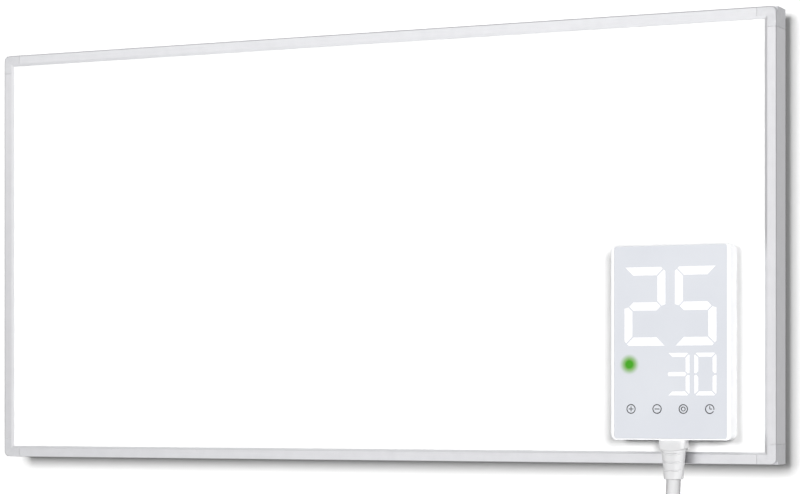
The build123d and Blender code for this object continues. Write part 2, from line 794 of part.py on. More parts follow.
def hanger_rail():
    """Rail on the back of the panel, which hooks over the wall rail's tongue."""
    t = rail_thickness
    tongue_d = t + cleat_clearance
    tongue_foot_z = hook_top_z - hook_length
    flange_foot_z = hook_top_z + t - hanger_flange_height
    points = [(tongue_d, tongue_foot_z), (tongue_d + t, tongue_foot_z), (tongue_d + t, hook_top_z),
              (back_d - t, hook_top_z), (back_d - t, flange_foot_z), (back_d, flange_foot_z),
              (back_d, hook_top_z + t), (tongue_d, hook_top_z + t)]
    rail = rail_section(points, hanger_rail_length / 2, hanger_rail_length)
    for x in rivet_xs():
        rail -= pin_y(rivet_radius + fit_clearance, x, rivet_z, back_d - t - over, back_d + over)
    return rail


def hanger_rivets():
    """Rivets through the hanger rail and the back cover."""
    rivets = []
    for x in rivet_xs():
        rivet = headed_screw(x, rivet_z, back_d - rail_thickness, seat_d, rivet_radius,
                             rivet_head_radius, rivet_head_height)
        rivets.append(rivet + pin_y(rivet_tail_radius, x, rivet_z, seat_d, seat_d + rivet_tail_length))
    return group(rivets)


def wall_pads():
    """Rubber pads that keep the foot of the panel off the wall."""
    z = bottom_z + pad_above_bottom
    pads = []
    for side in (-1, 1):
        pad = pin_y(pad_radius, side * (panel_width / 2 - pad_from_side), z, 0, back_d)
        rim = pad.edges().filter_by(GeomType.CIRCLE).sort_by(Axis.Y)[-1]
        pads.append(fillet(rim, pad_rim_round))
    return group(pads)


# ---------------------------------------------------------------- control unit's case
def unit_outline(inset=0.0, radius=None):
    """Rounded outline of the control unit, drawn in by inset."""
    corner = max(unit_corner_radius - inset, least_corner) if radius is None else radius
    return RectangleRounded(unit_width - 2 * inset, unit_height - 2 * inset, corner)


def base_places():
    """X and Z of the four fixings of the control unit's base."""
    reach_x = unit_width / 2 - base_inset - base_hole_inset
    reach_z = unit_height / 2 - base_inset - base_hole_inset
    return [(unit_centre_x + sx * reach_x, unit_centre_z + sz * reach_z)
            for sx in (-1, 1) for sz in (-1, 1)]


def controller_spacers():
    """Round stand-offs on the plate that keep the control unit off the heat."""
    spacers = []
    for x, z in base_places():
        spacer = pin_y(spacer_radius, x, z, plate_front_d, base_back_d)
        spacers.append(spacer - pin_y(base_screw_radius + fit_clearance, x, z,
                                      plate_front_d - over, base_back_d + over))
    return group(spacers)


def controller_base():
    """Flat base that the control unit is built on."""
    base = slab(unit_outline(base_inset, unit_corner_radius), base_back_d, shell_back_d,
                unit_centre_x, unit_centre_z)
    for x, z in base_places():
        base -= pin_y(base_screw_radius + fit_clearance, x, z, base_back_d - over, shell_back_d + over)
        base -= pin_y(base_screw_head_radius + fit_clearance, x, z,
                      shell_back_d - base_screw_head_height, shell_back_d + over)
    for x, z in shell_screw_places():
        base -= pin_y(base_screw_radius + fit_clearance, x, z, base_back_d - over, shell_back_d + over)
    return base - pin_y(lead_hole_radius, lead_x, lead_row_z, base_back_d - over, shell_back_d + over)


def shell_screw_places():
    """X and Z of the screws that hold the case to its base."""
    reach = unit_width / 2 - base_inset - base_hole_inset
    return [(unit_centre_x - reach, unit_centre_z), (unit_centre_x + reach, unit_centre_z)]


def flat_screw(x, z, seat, tip):
    """A flat-headed screw: its head's underside at seat, its end at tip."""
    way = 1 if tip > seat else -1
    head = pin_y(base_screw_head_radius, x, z, seat, seat - way * base_screw_head_height)
    return pin_y(base_screw_radius, x, z, seat, tip) + head


def controller_screws():
    """Screws through the base into the stand-offs, sunk flush, and from the case into its base."""
    sunk = shell_back_d - base_screw_head_height
    screws = [flat_screw(x, z, sunk, plate_front_d) for x, z in base_places()]
    return group(screws + [flat_screw(x, z, cavity_back_d, base_back_d) for x, z in shell_screw_places()])


def cord_opening(z0, z1, grow=0.0):
    """The opening in the foot of the case that the strain relief's neck sits in."""
    shape = RectangleRounded(boot_neck_width + 2 * grow, boot_neck_depth + 2 * grow,
                             boot_neck_depth * neck_round_share)
    return level(shape, z0, z1, cord_x, cord_d)


def board_bosses():
    """X and Z of the control board's screws."""
    reach_x = board_width / 2 - board_hole_inset
    low = board_bottom_z + board_hole_rows
    high = board_top_z - board_hole_rows
    return [(unit_centre_x + s * reach_x, z) for s in (-1, 1) for z in (low, high)]


def rear_shell():
    """White tray behind the face, with the board's bosses and vent slots."""
    shell = slab(unit_outline(), shell_back_d, bezel_back_d, unit_centre_x, unit_centre_z)
    back_rim = shell.faces().sort_by(Axis.Y)[-1].edges()
    shell = fillet(back_rim, shell_edge_round)
    shell -= slab(unit_outline(shell_wall), cavity_back_d, bezel_back_d + over, unit_centre_x, unit_centre_z)
    for x, z in board_bosses():
        shell += pin_y(board_boss_radius, x, z, cavity_back_d, board_back_d)
        shell -= pin_y(board_screw_radius + fit_clearance, x, z, cavity_back_d, board_back_d + over)
    for x, z in shell_screw_places():
        shell -= pin_y(base_screw_radius + fit_clearance, x, z, shell_back_d - over, cavity_back_d + over)
    shell -= pin_y(lead_hole_radius, lead_x, lead_row_z, shell_back_d - over, cavity_back_d + over)
    mid_d = (cavity_back_d + bezel_back_d - bezel_tongue) / 2
    for i in range(vent_slot_count):
        x = unit_centre_x + (i - (vent_slot_count - 1) / 2) * vent_slot_pitch
        slot = (x - vent_slot_length / 2, x + vent_slot_length / 2,
                mid_d - vent_slot_width / 2, mid_d + vent_slot_width / 2)
        shell -= block(*slot, unit_top_z - shell_wall - over, unit_top_z + over)
        if abs(x - cord_x) > (boot_neck_width + vent_slot_length) / 2 + shell_wall:
            shell -= block(*slot, unit_bottom_z - over, unit_bottom_z + shell_wall + over)
    return shell - cord_opening(unit_bottom_z - over, unit_bottom_z + shell_wall + over, fit_clearance)


def front_bezel():
    """White rim round the face plate, which snaps into the rear shell."""
    bezel = slab(unit_outline(), bezel_back_d, unit_front_d, unit_centre_x, unit_centre_z)
    front_rim = bezel.faces().sort_by(Axis.Y)[0].edges()
    bezel = fillet(front_rim, bezel_end * bezel_round_share)
    pocket = RectangleRounded(face_width + 2 * face_plate_clearance, face_height + 2 * face_plate_clearance,
                              bezel_pocket_radius)
    bezel -= slab(pocket, face_back_d, unit_front_d + over, unit_centre_x, unit_centre_z)
    opening = RectangleRounded(face_width - 2 * bezel_ledge, face_height - 2 * bezel_ledge,
                               bezel_opening_radius)
    bezel -= slab(opening, bezel_back_d - over, face_back_d + face_plate_clearance,
                  unit_centre_x, unit_centre_z)
    tongue_outside = shell_wall + snap_clearance
    ring = unit_outline(tongue_outside) - unit_outline(tongue_outside + bezel_tongue_wall)
    bezel += slab(ring, bezel_back_d - bezel_tongue, bezel_back_d, unit_centre_x, unit_centre_z)
    opening_top_z = unit_bottom_z + bezel_end + bezel_ledge + boot_opening_height
    bezel -= cord_opening(unit_bottom_z - over, opening_top_z, fit_clearance)
    half = collar_width / 2 + boot_side_room
    foot_z = unit_bottom_z + shell_wall - fit_clearance
    return bezel - block(cord_x - half, cord_x + half, bezel_back_d - bezel_tongue - over, face_back_d,
                         foot_z, foot_z + 2 * boot_opening_height)


# ---------------------------------------------------------------- face plate, digits and marks
def middle_bar_end(side, lit_beside, w, t):
    """Points of the middle bar's end on one side, where it fits between the lit bars beside it."""
    tip, shoulder = (w - t / 2, w - t) if lit_beside else (w, w - t * free_end_share)
    return [(side * shoulder, -side * t / 2), (side * tip, 0), (side * shoulder, side * t / 2)]


def digit_envelope(lit, w, h, cut):
    """Outline round one digit, with its corner cut where two lit bars meet."""
    points = []
    for sx, sz, pair in ((-1, 1, "fa"), (1, 1, "ab"), (1, -1, "cd"), (-1, -1, "de")):
        bevel = cut if set(pair) <= set(lit) else 0
        corner = [(sx * w, sz * (h - bevel)), (sx * (w - bevel), sz * h)]
        points += (corner if sx != sz else corner[::-1])[:2 if bevel else 1]
    return make_face(Polyline(*points, close=True))


def segment_faces(digit, width, height, stroke):
    """The lit bars of one digit, centred: each a flat outline, bevelled where it meets another."""
    lit = {"0": "abcdef", "2": "abged", "3": "abgcd", "5": "afgcd"}[digit]
    w, h, t = width / 2, height / 2, stroke
    lying = [(-w, h), (w, h), (w - t, h - t), (-w + t, h - t)]
    standing = [(w, h), (w, t * bar_tip_share), (w - t / 2, 0), (w - t, t / 2), (w - t, h - t)]
    outlines = {
        "a": lying,
        "d": [(x, -z) for x, z in lying],
        "b": standing,
        "c": [(x, -z) for x, z in standing],
        "e": [(-x, -z) for x, z in standing],
        "f": [(-x, z) for x, z in standing],
        "g": middle_bar_end(-1, set(lit) & set("ef"), w, t) + middle_bar_end(1, set(lit) & set("bc"), w, t),
    }
    envelope = digit_envelope(lit, w, h, t * digit_corner_share)
    bars = [make_face(Polyline(*outlines[bar], close=True)) & envelope for bar in lit]
    return [offset(bar, -segment_gap / 2, kind=Kind.INTERSECTION) for bar in bars]


def window_faces():
    """Every lit bar of the display, placed on the face."""
    big = (big_digit_z, big_digit_width, big_digit_height, big_digit_stroke)
    small = (small_digit_z, small_digit_width, small_digit_height, small_digit_stroke)
    right = small_digits_right - small_digit_width / 2
    layout = [("2", -big_digit_spacing / 2, big), ("5", big_digit_spacing / 2, big),
              ("3", right - small_digit_spacing, small), ("0", right, small)]
    faces = []
    for digit, x, (z, width, height, stroke) in layout:
        faces += [Pos(x, z) * bar for bar in segment_faces(digit, width, height, stroke)]
    return faces


def mark_faces():
    """Plus, minus, a dial and a clock, each in its ring: plain signs over the touch keys."""
    r, t = mark_radius, mark_line
    fine = t * fine_line_share
    arm = 2 * r * sign_share
    bar = Rectangle(arm, fine)
    ring = Circle(r) - Circle(r - t)
    dial = Circle(r * dial_share) - Circle(r * dial_share - fine)
    minute_hand = Pos(0, r * minute_hand_share / 2) * Rectangle(fine, r * minute_hand_share)
    hour_hand = Pos(r * hour_hand_share / 2, 0) * Rectangle(r * hour_hand_share, fine)
    notch = Pos(r, -r * notch_share) * Rectangle(r, r * notch_share)
    signs = [[ring, bar + Rectangle(fine, arm)], [ring, bar], [ring, dial],
             [ring - notch, minute_hand + hour_hand]]
    faces = []
    for i, sign in enumerate(signs):
        x = (i - (len(signs) - 1) / 2) * mark_spacing
        faces += [Pos(x, mark_z) * face for sketch in sign for face in sketch.faces()]
    return faces


def on_face(face, d0, d1):
    """A flat outline on the face plate, made solid between two depths."""
    return slab(face, d0, d1, unit_centre_x, unit_centre_z)


def face_parts():
    """The glossy plate with the lit windows, the status lens and the signs let into it."""
    plate = slab(RectangleRounded(face_width, face_height, face_plate_radius), face_back_d, face_front_d,
                 unit_centre_x, unit_centre_z)
    windows = [on_face(face, face_front_d - window_depth, face_front_d) for face in window_faces()]
    marks = [on_face(face, face_front_d - mark_depth, face_front_d) for face in mark_faces()]
    lens = on_face(Pos(-status_left, status_z) * Circle(status_radius),
                   face_front_d - window_depth, face_front_d)
    for piece in windows + marks + [lens]:
        plate -= piece
    return plate, group(windows), lens, group(marks)


# ---------------------------------------------------------------- electronics
def touch_film():
    """Clear sensor layer behind the signs."""
    z = unit_centre_z + mark_z
    return block(unit_centre_x - touch_film_width / 2, unit_centre_x + touch_film_width / 2,
                 touch_back_d, face_back_d, z - touch_film_height / 2, z + touch_film_height / 2)


def display_module():
    """Light box between the board and the face plate."""
    return block(unit_centre_x - display_width / 2, unit_centre_x + display_width / 2,
                 board_front_d, face_back_d, display_foot_z, display_top_z)


def control_board():
    """Circuit board on the rear shell's bosses."""
    board = block(unit_centre_x - board_width / 2, unit_centre_x + board_width / 2,
                  board_back_d, board_front_d, board_bottom_z, board_top_z)
    for x, z in board_bosses():
        board -= pin_y(board_screw_radius + fit_clearance, x, z, board_back_d - over, board_front_d + over)
    return board


def board_screws():
    """Screws through the board into its bosses."""
    return group([headed_screw(x, z, board_front_d, cavity_back_d + over, board_screw_radius,
                               board_screw_head_radius, board_screw_head_height)
                  for x, z in board_bosses()])


def power_converter():
    """Mains converter block on the back of the board, right of the leads."""
    x = unit_centre_x + converter_right
    z = unit_bottom_z + converter_above_bottom
    return block(x, x + converter_width, board_back_d - converter_depth, board_back_d,
                 z, z + converter_height)


def smoothing_capacitor():
    """Capacitor lying on the back of the board."""
    x = unit_centre_x + capacitor_right
    z = unit_bottom_z + capacitor_above_bottom
    can = pin_x(capacitor_radius, board_back_d - capacitor_radius, z, x, x + capacitor_length)
    return fillet(can.edges().filter_by(GeomType.CIRCLE), capacitor_edge_round)


def fuse():
    """Glass fuse with metal ends, lying on the back of the board."""
    x = unit_centre_x - fuse_left
    z = unit_bottom_z + fuse_above_bottom
    d = board_back_d - fuse_radius
    end_x = x + fuse_length
    caps = [pin_x(fuse_radius, d, z, x, x + fuse_cap_length),
            pin_x(fuse_radius, d, z, end_x - fuse_cap_length, end_x)]
    glass = pin_x(fuse_radius * fuse_glass_share, d, z, x + fuse_cap_length, end_x - fuse_cap_length)
    return group(caps + [glass])


def terminal_block():
    """Screw terminals where the mains conductors and the leads meet."""
    half = terminal_pitch * terminal_poles / 2
    back = board_back_d - terminal_depth
    body = block(unit_centre_x - half, unit_centre_x + half, back, board_back_d,
                 terminal_z, terminal_z + terminal_height)
    for i in range(terminal_poles):
        x = unit_centre_x + (i - (terminal_poles - 1) / 2) * terminal_pitch
        body -= pin_y(terminal_pitch * terminal_screw_share, x, terminal_z + terminal_height / 2,
                      back - over, back + terminal_well_depth)
    return body


def room_sensor():
    """Temperature bead under the board, beside the vent slots."""
    x = unit_centre_x - board_width / 2 + sensor_from_side
    d = (board_back_d + board_front_d) / 2
    bead = pin_z(sensor_radius, x, d, board_bottom_z - sensor_length, board_bottom_z)
    return fillet(bead.edges().filter_by(GeomType.CIRCLE).sort_by(Axis.Z)[0], sensor_end_round)


def relay_frame():
    """Relay's floor and iron yoke."""
    floor = block(relay_x, relay_x + relay_width, relay_floor_d, board_back_d,
                  relay_z, relay_z + relay_height)
    yoke_x = relay_x + yoke_from_end
    yoke = block(yoke_x, yoke_x + yoke_thickness, armature_back_d, relay_floor_d,
                 relay_core_z - armature_width / 2, relay_core_z + armature_width / 2)
    return floor + yoke


def relay_coil():
    """Winding between two flanges on the iron core."""
    coil = pin_x(coil_winding_radius, relay_axis_d, relay_core_z, relay_coil_x, relay_coil_x + coil_length)
    for end in (relay_coil_x, relay_coil_x + coil_length - coil_flange_thickness):
        coil += pin_x(coil_radius, relay_axis_d, relay_core_z, end, end + coil_flange_thickness)
    return coil + pin_x(core_radius, relay_axis_d, relay_core_z,
                        relay_x + yoke_from_end + yoke_thickness, core_end_x)


def relay_armature():
    """Iron plate that the coil pulls in; it tips about its edge on the relay's floor."""
    return block(armature_x, armature_x + armature_thickness,
                 armature_back_d, relay_floor_d - knife_clearance,
                 relay_core_z - armature_width / 2, relay_core_z + armature_width / 2)


def relay_contacts():
    """Two leaf contacts beside the armature."""
    leaves = []
    for i in range(2):
        x = armature_x + armature_thickness + leaf_gap + leaf_pitch * i
        leaf = block(x, x + leaf_thickness, armature_back_d + leaf_step * i, relay_floor_d,
                     relay_core_z - leaf_half_width, relay_core_z + leaf_half_width)
        contact = pin_x(contact_radius, armature_back_d + contact_from_tip, relay_core_z,
                        x + contact_start, x + contact_end)
        leaves.append(leaf + contact)
    return group(leaves)


# ---------------------------------------------------------------- cord entry
def rounded_level(width, depth, share, z0, z1):
    """A level slice of the strain relief, centred on the cord."""
    return level(RectangleRounded(width, depth, depth * share), z0, z1, cord_x, cord_d)


def strain_relief():
    """Ribbed boot that carries the cord out of the foot of the case."""
    ends = [(boot_bottom_z, boot_bottom_width, boot_bottom_depth),
            (boot_top_z, boot_top_width, boot_top_depth)]
    outlines = [Plane(origin=(cord_x, -cord_d, z)) * RectangleRounded(width, depth, depth * boot_round_share)
                for z, width, depth in ends]
    boot = loft([outline.faces()[0] for outline in outlines])
    for i in range(boot_groove_count):
        z = boot_top_z - boot_groove_pitch * (i + boot_groove_start)
        share = (boot_top_z - z) / boot_length
        width = boot_top_width + (boot_bottom_width - boot_top_width) * share
        depth = boot_top_depth + (boot_bottom_depth - boot_top_depth) * share
        inner = RectangleRounded(width - 2 * boot_groove_depth, depth - 2 * boot_groove_depth,
                                 depth * neck_round_share)
        ring = Rectangle(2 * width, 2 * depth) - inner
        boot -= level(ring, z - boot_groove_height / 2, z + boot_groove_height / 2, cord_x, cord_d)
    flange_z = unit_bottom_z + shell_wall
    neck_depth = boot_neck_depth - 2 * fit_clearance
    collar = rounded_level(collar_width, collar_depth, collar_round_share, boot_top_z, unit_bottom_z)
    neck = rounded_level(boot_neck_width, neck_depth, neck_round_share, unit_bottom_z, flange_z)
    flange = rounded_level(collar_width - flange_inset, neck_depth, neck_round_share,
                           flange_z, flange_z + boot_flange_height)
    bore = pin_z(cord_radius + cord_bore_clearance, cord_x, cord_d, boot_bottom_z - over,
                 flange_z + boot_flange_height + over)
    return boot + collar + neck + flange - bore


def cord_inner():
    """The cord's sheath inside the strain relief and the clamp."""
    return pin_z(cord_radius, cord_x, cord_d, boot_bottom_z, unit_bottom_z + jacket_above_bottom)


def cord_conductors():
    """Three insulated conductors from the sheath's end to the terminals."""
    return group([pin_z(conductor_radius, cord_x + i * conductor_pitch, cord_d,
                        unit_bottom_z + jacket_above_bottom, unit_bottom_z + terminal_above_bottom)
                  for i in (-1, 0, 1)])


def cord_clamp():
    """Two jaws that grip the sheath from both sides."""
    jaws = []
    for side in (-1, 1):
        jaw = block(cord_x + side * clamp_inner_x, cord_x + side * clamp_outer_x,
                    cavity_back_d, clamp_front_d, clamp_z, clamp_z + clamp_height)
        jaw -= pin_z(cord_radius + cord_bore_clearance, cord_x, cord_d,
                     clamp_z - over, clamp_z + clamp_height + over)
        jaw -= pin_y(clamp_screw_radius + fit_clearance, cord_x + side * clamp_screw_x,
                     clamp_z + clamp_height / 2, cavity_back_d, clamp_front_d + over)
        jaws.append(jaw)
    return group(jaws)


def clamp_screws():
    """Screws that hold the two jaws."""
    return group([headed_screw(cord_x + side * clamp_screw_x, clamp_z + clamp_height / 2, clamp_front_d,
                               cavity_back_d + clamp_screw_end, clamp_screw_radius,
                               clamp_screw_head_radius, clamp_screw_head_height)
                  for side in (-1, 1)])


# ---------------------------------------------------------------- free cord
def coil_ease(deg):
    """Degrees from the middle of the coil, eased so that the radius turns round smoothly there."""
    return math.hypot(deg - coil_middle_deg, coil_ease_deg)


def coil_radius_at(deg):
    """Radius of the coil's centre line: inwards at a steady rate, then out again."""
    return coil_outer_radius + turn_pitch / 360 * (coil_ease(deg) - coil_ease(coil_start_deg))


def coil_depth_at(deg):
    """Depth of the centre line: the second layer lies behind the first."""
    share = (deg - coil_start_deg - coil_in_deg) / coil_climb_deg
    share = min(max(share, 0.0), 1.0)
    return cord_d - turn_pitch * share * share * (3 - 2 * share)


def coil_point(deg):
    """A point of the coil's centre line."""
    r, a = coil_radius_at(deg), math.radians(deg)
    return Vector(cord_x + r * math.cos(a), -coil_depth_at(deg), coil_centre_z + r * math.sin(a))


def coil_tangent(deg):
    """Direction of the centre line there."""
    if deg in (coil_start_deg, coil_end_deg):
        a = math.radians(deg)
        return Vector(-math.sin(a), 0, math.cos(a))
    return (coil_point(deg + near) - coil_point(deg - near)).normalized()


def biarc(p0, t0, p1, t1):
    """Two arcs that leave p0 along t0 and reach p1 along t1, with one tangent where they meet."""
    v = p1 - p0
    t = t0 + t1
    a = 2 * (1 - t0.dot(t1))
    b = 2 * v.dot(t)
    c = -v.dot(v)
    reach = (-b + math.sqrt(b * b - 4 * a * c)) / (2 * a) if a > near * near else -c / b
    q0 = p0 + t0 * reach
    q1 = p1 - t1 * reach
    middle = (q0 + q1) * 0.5
    return [Edge.make_tangent_arc(p0, t0, middle), Edge.make_tangent_arc(middle, (q1 - q0).normalized(), p1)]


def coil_edges():
    """The coil's centre line: a straight start, the turns and a straight end."""
    degs = [coil_end_deg]
    while degs[0] - coil_step_deg > coil_start_deg + near:
        degs.insert(0, degs[0] - coil_step_deg)
    degs.insert(0, coil_start_deg)
    points = [coil_point(deg) for deg in degs]
    tangents = [coil_tangent(deg) for deg in degs]
    edges = [Edge.make_line(points[0] - tangents[0] * cord_diameter, points[0])]
    for i in range(len(degs) - 1):
        edges += biarc(points[i], tangents[i], points[i + 1], tangents[i + 1])
    edges.append(Edge.make_line(points[-1], points[-1] + tangents[-1] * cord_diameter))
    return edges


def free_cord():
    """Drop, coil and tail of the mains cord, and the ends that they share."""
    edges = coil_edges()
    coil_path = Wire(edges)
    coil_start = edges[0] @ 0
    coil_end = edges[-1] @ 1
    section = Plane(origin=coil_start, z_dir=edges[0] % 0) * Circle(cord_radius)
    coil = sweep(section, path=coil_path)
    route = [Vector(cord_x, -cord_d, boot_bottom_z), Vector(cord_x, -cord_d, knee_z), coil_start]
    runs = [(b - a).length for a, b in zip(route, route[1:])]
    turn = (route[1] - route[0]).get_angle(route[2] - route[1])
    bend = drop_bend_share * min(runs) / math.tan(math.radians(turn / 2))
    drop, drop_path = tube_along(route, cord_radius, [bend])
    tail = pin_z(cord_radius, coil_end.X, -coil_end.Y, coil_end.Z - tail_run, coil_end.Z)
    print(f"drop: runs {[round(r, 1) for r in runs]}, turn {turn:.1f} degrees, radius {bend:.1f} mm")
    section_area = math.pi * cord_radius ** 2
    for name, solid, length in (("drop", drop, drop_path.length), ("coil", coil, coil_path.length)):
        print(f"{name}: volume {solid.volume:.1f}, section times length {section_area * length:.1f}")
    report_coil(edges)
    lengths = (drop_path.length, coil_path.length, tail_run)
    print(f"free cord {sum(lengths):.0f} mm: drop, coil and tail {[round(run) for run in lengths]}")
    return coil, drop, tail, coil_end


def report_coil(edges):
    """Print the coil's smallest radius and its least gap to itself, measured on points."""
    points, travelled = [], 0.0
    for edge in edges:
        count = max(int(edge.length / measure_step), 2)
        for i in range(count):
            points.append((travelled + edge.length * i / count, edge @ (i / count)))
        travelled += edge.length
    least = math.inf
    for i, (s, p) in enumerate(points):
        for t, q in points[i + 1:]:
            if t - s > 4 * cord_diameter:
                least = min(least, (p - q).length)
    arcs = [e.radius for e in edges if e.geom_type == GeomType.CIRCLE]
    print(f"coil: least gap to itself {least - cord_diameter:.2f} mm, smallest radius {min(arcs):.1f} mm")


def cord_tie():
    """Strap round all the turns of the coil."""
    passes = [tie_at_deg + 360 * turn for turn in range(math.ceil(coil_end_deg / 360))]
    degs = [deg for deg in passes if coil_start_deg < deg < coil_end_deg]
    radii = [coil_radius_at(deg) for deg in degs]
    depths = [coil_depth_at(deg) for deg in degs]
    room = cord_radius + tie_clearance
    lean = math.asin(tie_width / 2 / min(radii))
    drift = turn_pitch * lean / (2 * math.pi)
    low = min(radii) * math.cos(lean) - room - drift
    high = max(radii) + room + drift
    near, far = min(depths) - room, max(depths) + room
    width, depth = high - low, far - near
    centre = (high + low) / 2
    ring = RectangleRounded(width + 2 * tie_thickness, depth + 2 * tie_thickness, cord_radius) - \
        RectangleRounded(width, depth, cord_radius - tie_thickness)
    a = math.radians(tie_at_deg)
    out = Vector(math.cos(a), 0, math.sin(a))
    along = Vector(-math.sin(a), 0, math.cos(a))
    middle = Vector(cord_x, -(near + far) / 2, coil_centre_z) + out * centre - along * (tie_width / 2)
    return extrude(Plane(origin=middle, x_dir=out, z_dir=along) * ring, tie_width)


# ---------------------------------------------------------------- plug
def spun(points, x, d, z):
    """A round solid about an upright axis, from radius and drop below z."""
    outline = [(r, -drop) for r, drop in points]
    face = Plane.XZ * make_face(Polyline(*outline, close=True))
    return Pos(x, -d, z) * revolve(face, Axis.Z)


def plug_parts(x, d, z):
    """Boot, body, pins and earth contacts of the plug, hanging with its pins down."""
    boot_points = [(0, 0), (plug_boot_top_radius, 0)]
    pitch = plug_boot_length / (plug_boot_grooves + 1)
    notch = pitch * plug_groove_share
    taper = (plug_boot_end_radius - plug_boot_top_radius) / plug_boot_length
    for i in range(plug_boot_grooves):
        drop = pitch * (i + 1)
        radius = plug_boot_top_radius + taper * drop
        floor = radius - plug_groove_depth
        boot_points += [(radius, drop - notch), (floor, drop - notch),
                        (floor, drop + notch), (radius, drop + notch)]
    boot_points += [(plug_boot_end_radius, plug_boot_length), (0, plug_boot_length)]
    boot = spun(boot_points, x, d, z)

    body_z = z - plug_boot_length
    face_z = body_z - plug_body_length
    body = spun([(0, 0), (plug_neck_radius - plug_neck_round, 0), (plug_neck_radius, plug_neck_round),
                 (plug_face_radius, plug_body_length - plug_skirt),
                 (plug_face_radius, plug_body_length), (0, plug_body_length)], x, d, body_z)
    pins, clips = [], []
    for side in (-1, 1):
        pin_x_place = x + side * pin_spacing / 2
        pin = pin_z(pin_radius, pin_x_place, d, face_z - pin_length, face_z)
        tip = pin.edges().filter_by(GeomType.CIRCLE).sort_by(Axis.Z)[0]
        root = pin_z(pin_root_radius, pin_x_place, d, face_z, face_z + pin_root)
        pins.append(fillet(tip, pin_radius * pin_tip_share) + root)
        body -= pin_z(pin_root_radius, pin_x_place, d, face_z - over, face_z + pin_root)
        clip_d = d + side * (plug_face_radius - clip_thickness)
        rim_d = d + side * (plug_face_radius + over)
        clip_sides = (x - clip_width / 2, x + clip_width / 2)
        clips.append(block(*clip_sides, clip_d, clip_d + side * clip_thickness,
                           face_z, face_z + clip_length))
        body -= block(*clip_sides, clip_d, rim_d, face_z - over, face_z + clip_length)
    print(f"plug: face at z {face_z:.2f}, axis x {x:.3f}, y {-d:.3f}")
    return {"plug_boot": boot, "plug_body": body, "plug_pins": group(pins), "plug_earth_clips": group(clips)}


# ---------------------------------------------------------------- the whole heater
def build():
    """Every node of the heater, by name."""
    nodes = dict(frame_bars())
    for sx, side in ((-1, "left"), (1, "right")):
        for sz, end in ((-1, "bottom"), (1, "top")):
            nodes[f"corner_cap_{end}_{side}"] = corner_cap(sx, sz)
    makers = (corner_keys, heating_plate, heating_film, heater_busbars, busbar_terminals, reflector_foil,
              insulation_board, back_cover, back_cover_screws, thermal_cutouts, element_leads, earth_stud,
              lead_grommet, wall_rail, hanger_rail, hanger_rivets, wall_pads, controller_spacers,
              controller_base, controller_screws, rear_shell, front_bezel, touch_film,
              display_module, control_board, board_screws, power_converter, smoothing_capacitor, fuse,
              terminal_block, room_sensor, relay_frame, relay_coil, relay_armature, relay_contacts,
              strain_relief, cord_inner, cord_conductors, cord_clamp, clamp_screws, cord_tie)
    for maker in makers:
        nodes[maker.__name__] = maker()
    plate, windows, lens, marks = face_parts()
    nodes.update(front_plate=plate, display_windows=windows, status_lens=lens, key_marks=marks)
    coil, drop, tail, coil_end = free_cord()
    nodes.update(mains_cord_coil=coil, mains_cord_drop=drop, mains_cord_tail=tail)
    nodes.update(plug_parts(coil_end.X, -coil_end.Y, coil_end.Z - tail_run))
    return nodes


for name, shape in build().items():
    export_step(shape, f"parts/{name}.step")
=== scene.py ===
"""Looks of the infrared panel heater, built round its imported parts.

Each sub-assembly is a class that holds its sizes, builds its own pieces and dresses them.
Each finish is a small frozen class that makes one procedural material.
Everything is in metres, in the frame of the parts: X to the right, Z up, the wall at Y = 0,
and the heater faces -Y.
"""

import functools
import logging
import math
from collections.abc import Callable
from dataclasses import dataclass
from enum import Enum

import bmesh
import bpy
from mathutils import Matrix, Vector


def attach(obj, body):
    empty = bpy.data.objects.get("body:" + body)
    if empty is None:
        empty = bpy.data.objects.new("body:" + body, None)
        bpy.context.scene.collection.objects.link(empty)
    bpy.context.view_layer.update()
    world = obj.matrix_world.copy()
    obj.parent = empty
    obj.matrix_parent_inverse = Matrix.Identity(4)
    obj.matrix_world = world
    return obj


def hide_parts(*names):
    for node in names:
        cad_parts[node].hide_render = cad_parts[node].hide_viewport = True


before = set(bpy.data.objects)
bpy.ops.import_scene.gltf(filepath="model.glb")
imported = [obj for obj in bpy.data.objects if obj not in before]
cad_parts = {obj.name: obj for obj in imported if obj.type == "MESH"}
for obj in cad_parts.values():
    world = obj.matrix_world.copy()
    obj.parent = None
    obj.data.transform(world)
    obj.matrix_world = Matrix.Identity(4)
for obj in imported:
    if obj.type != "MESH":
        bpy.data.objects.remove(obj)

LOG = logging.getLogger("panel_heater")
MM = 0.001
Pair = tuple[float, float]
Triple = tuple[float, float, float]
Four = tuple[float, float, float, float]
Colour = Triple
Profile = tuple[Pair, ...]
Thing = bpy.types.Object
Socket = bpy.types.NodeSocket
Sockets = tuple[Socket, Socket]
Value = float | Colour | Socket
Mesh = bmesh.types.BMesh
Ring = list[bmesh.types.BMVert]


class Body(Enum):
    """The bodies that pieces ride on."""

    BRACKET = "wall_bracket"
    HEATER = "heater"
    ARMATURE = "armature"


class Along(Enum):
    """Direction that a brushed or drawn finish runs in."""

    X = (0.02, 1.0, 1.0)
    Y = (1.0, 0.02, 1.0)
    Z = (1.0, 1.0, 0.02)


# ------------------------------------------------------------------ finishes
TONE_BAND = (0.3, 0.7)          # part of a cloudy pattern that a colour follows
ROUGH_BAND = (0.25, 0.75)       # part of it that the roughness follows
COAT_ROUGHNESS = 0.06
WAVE_SCALE = math.pi / 10.0     # scale that gives bands a spacing of one


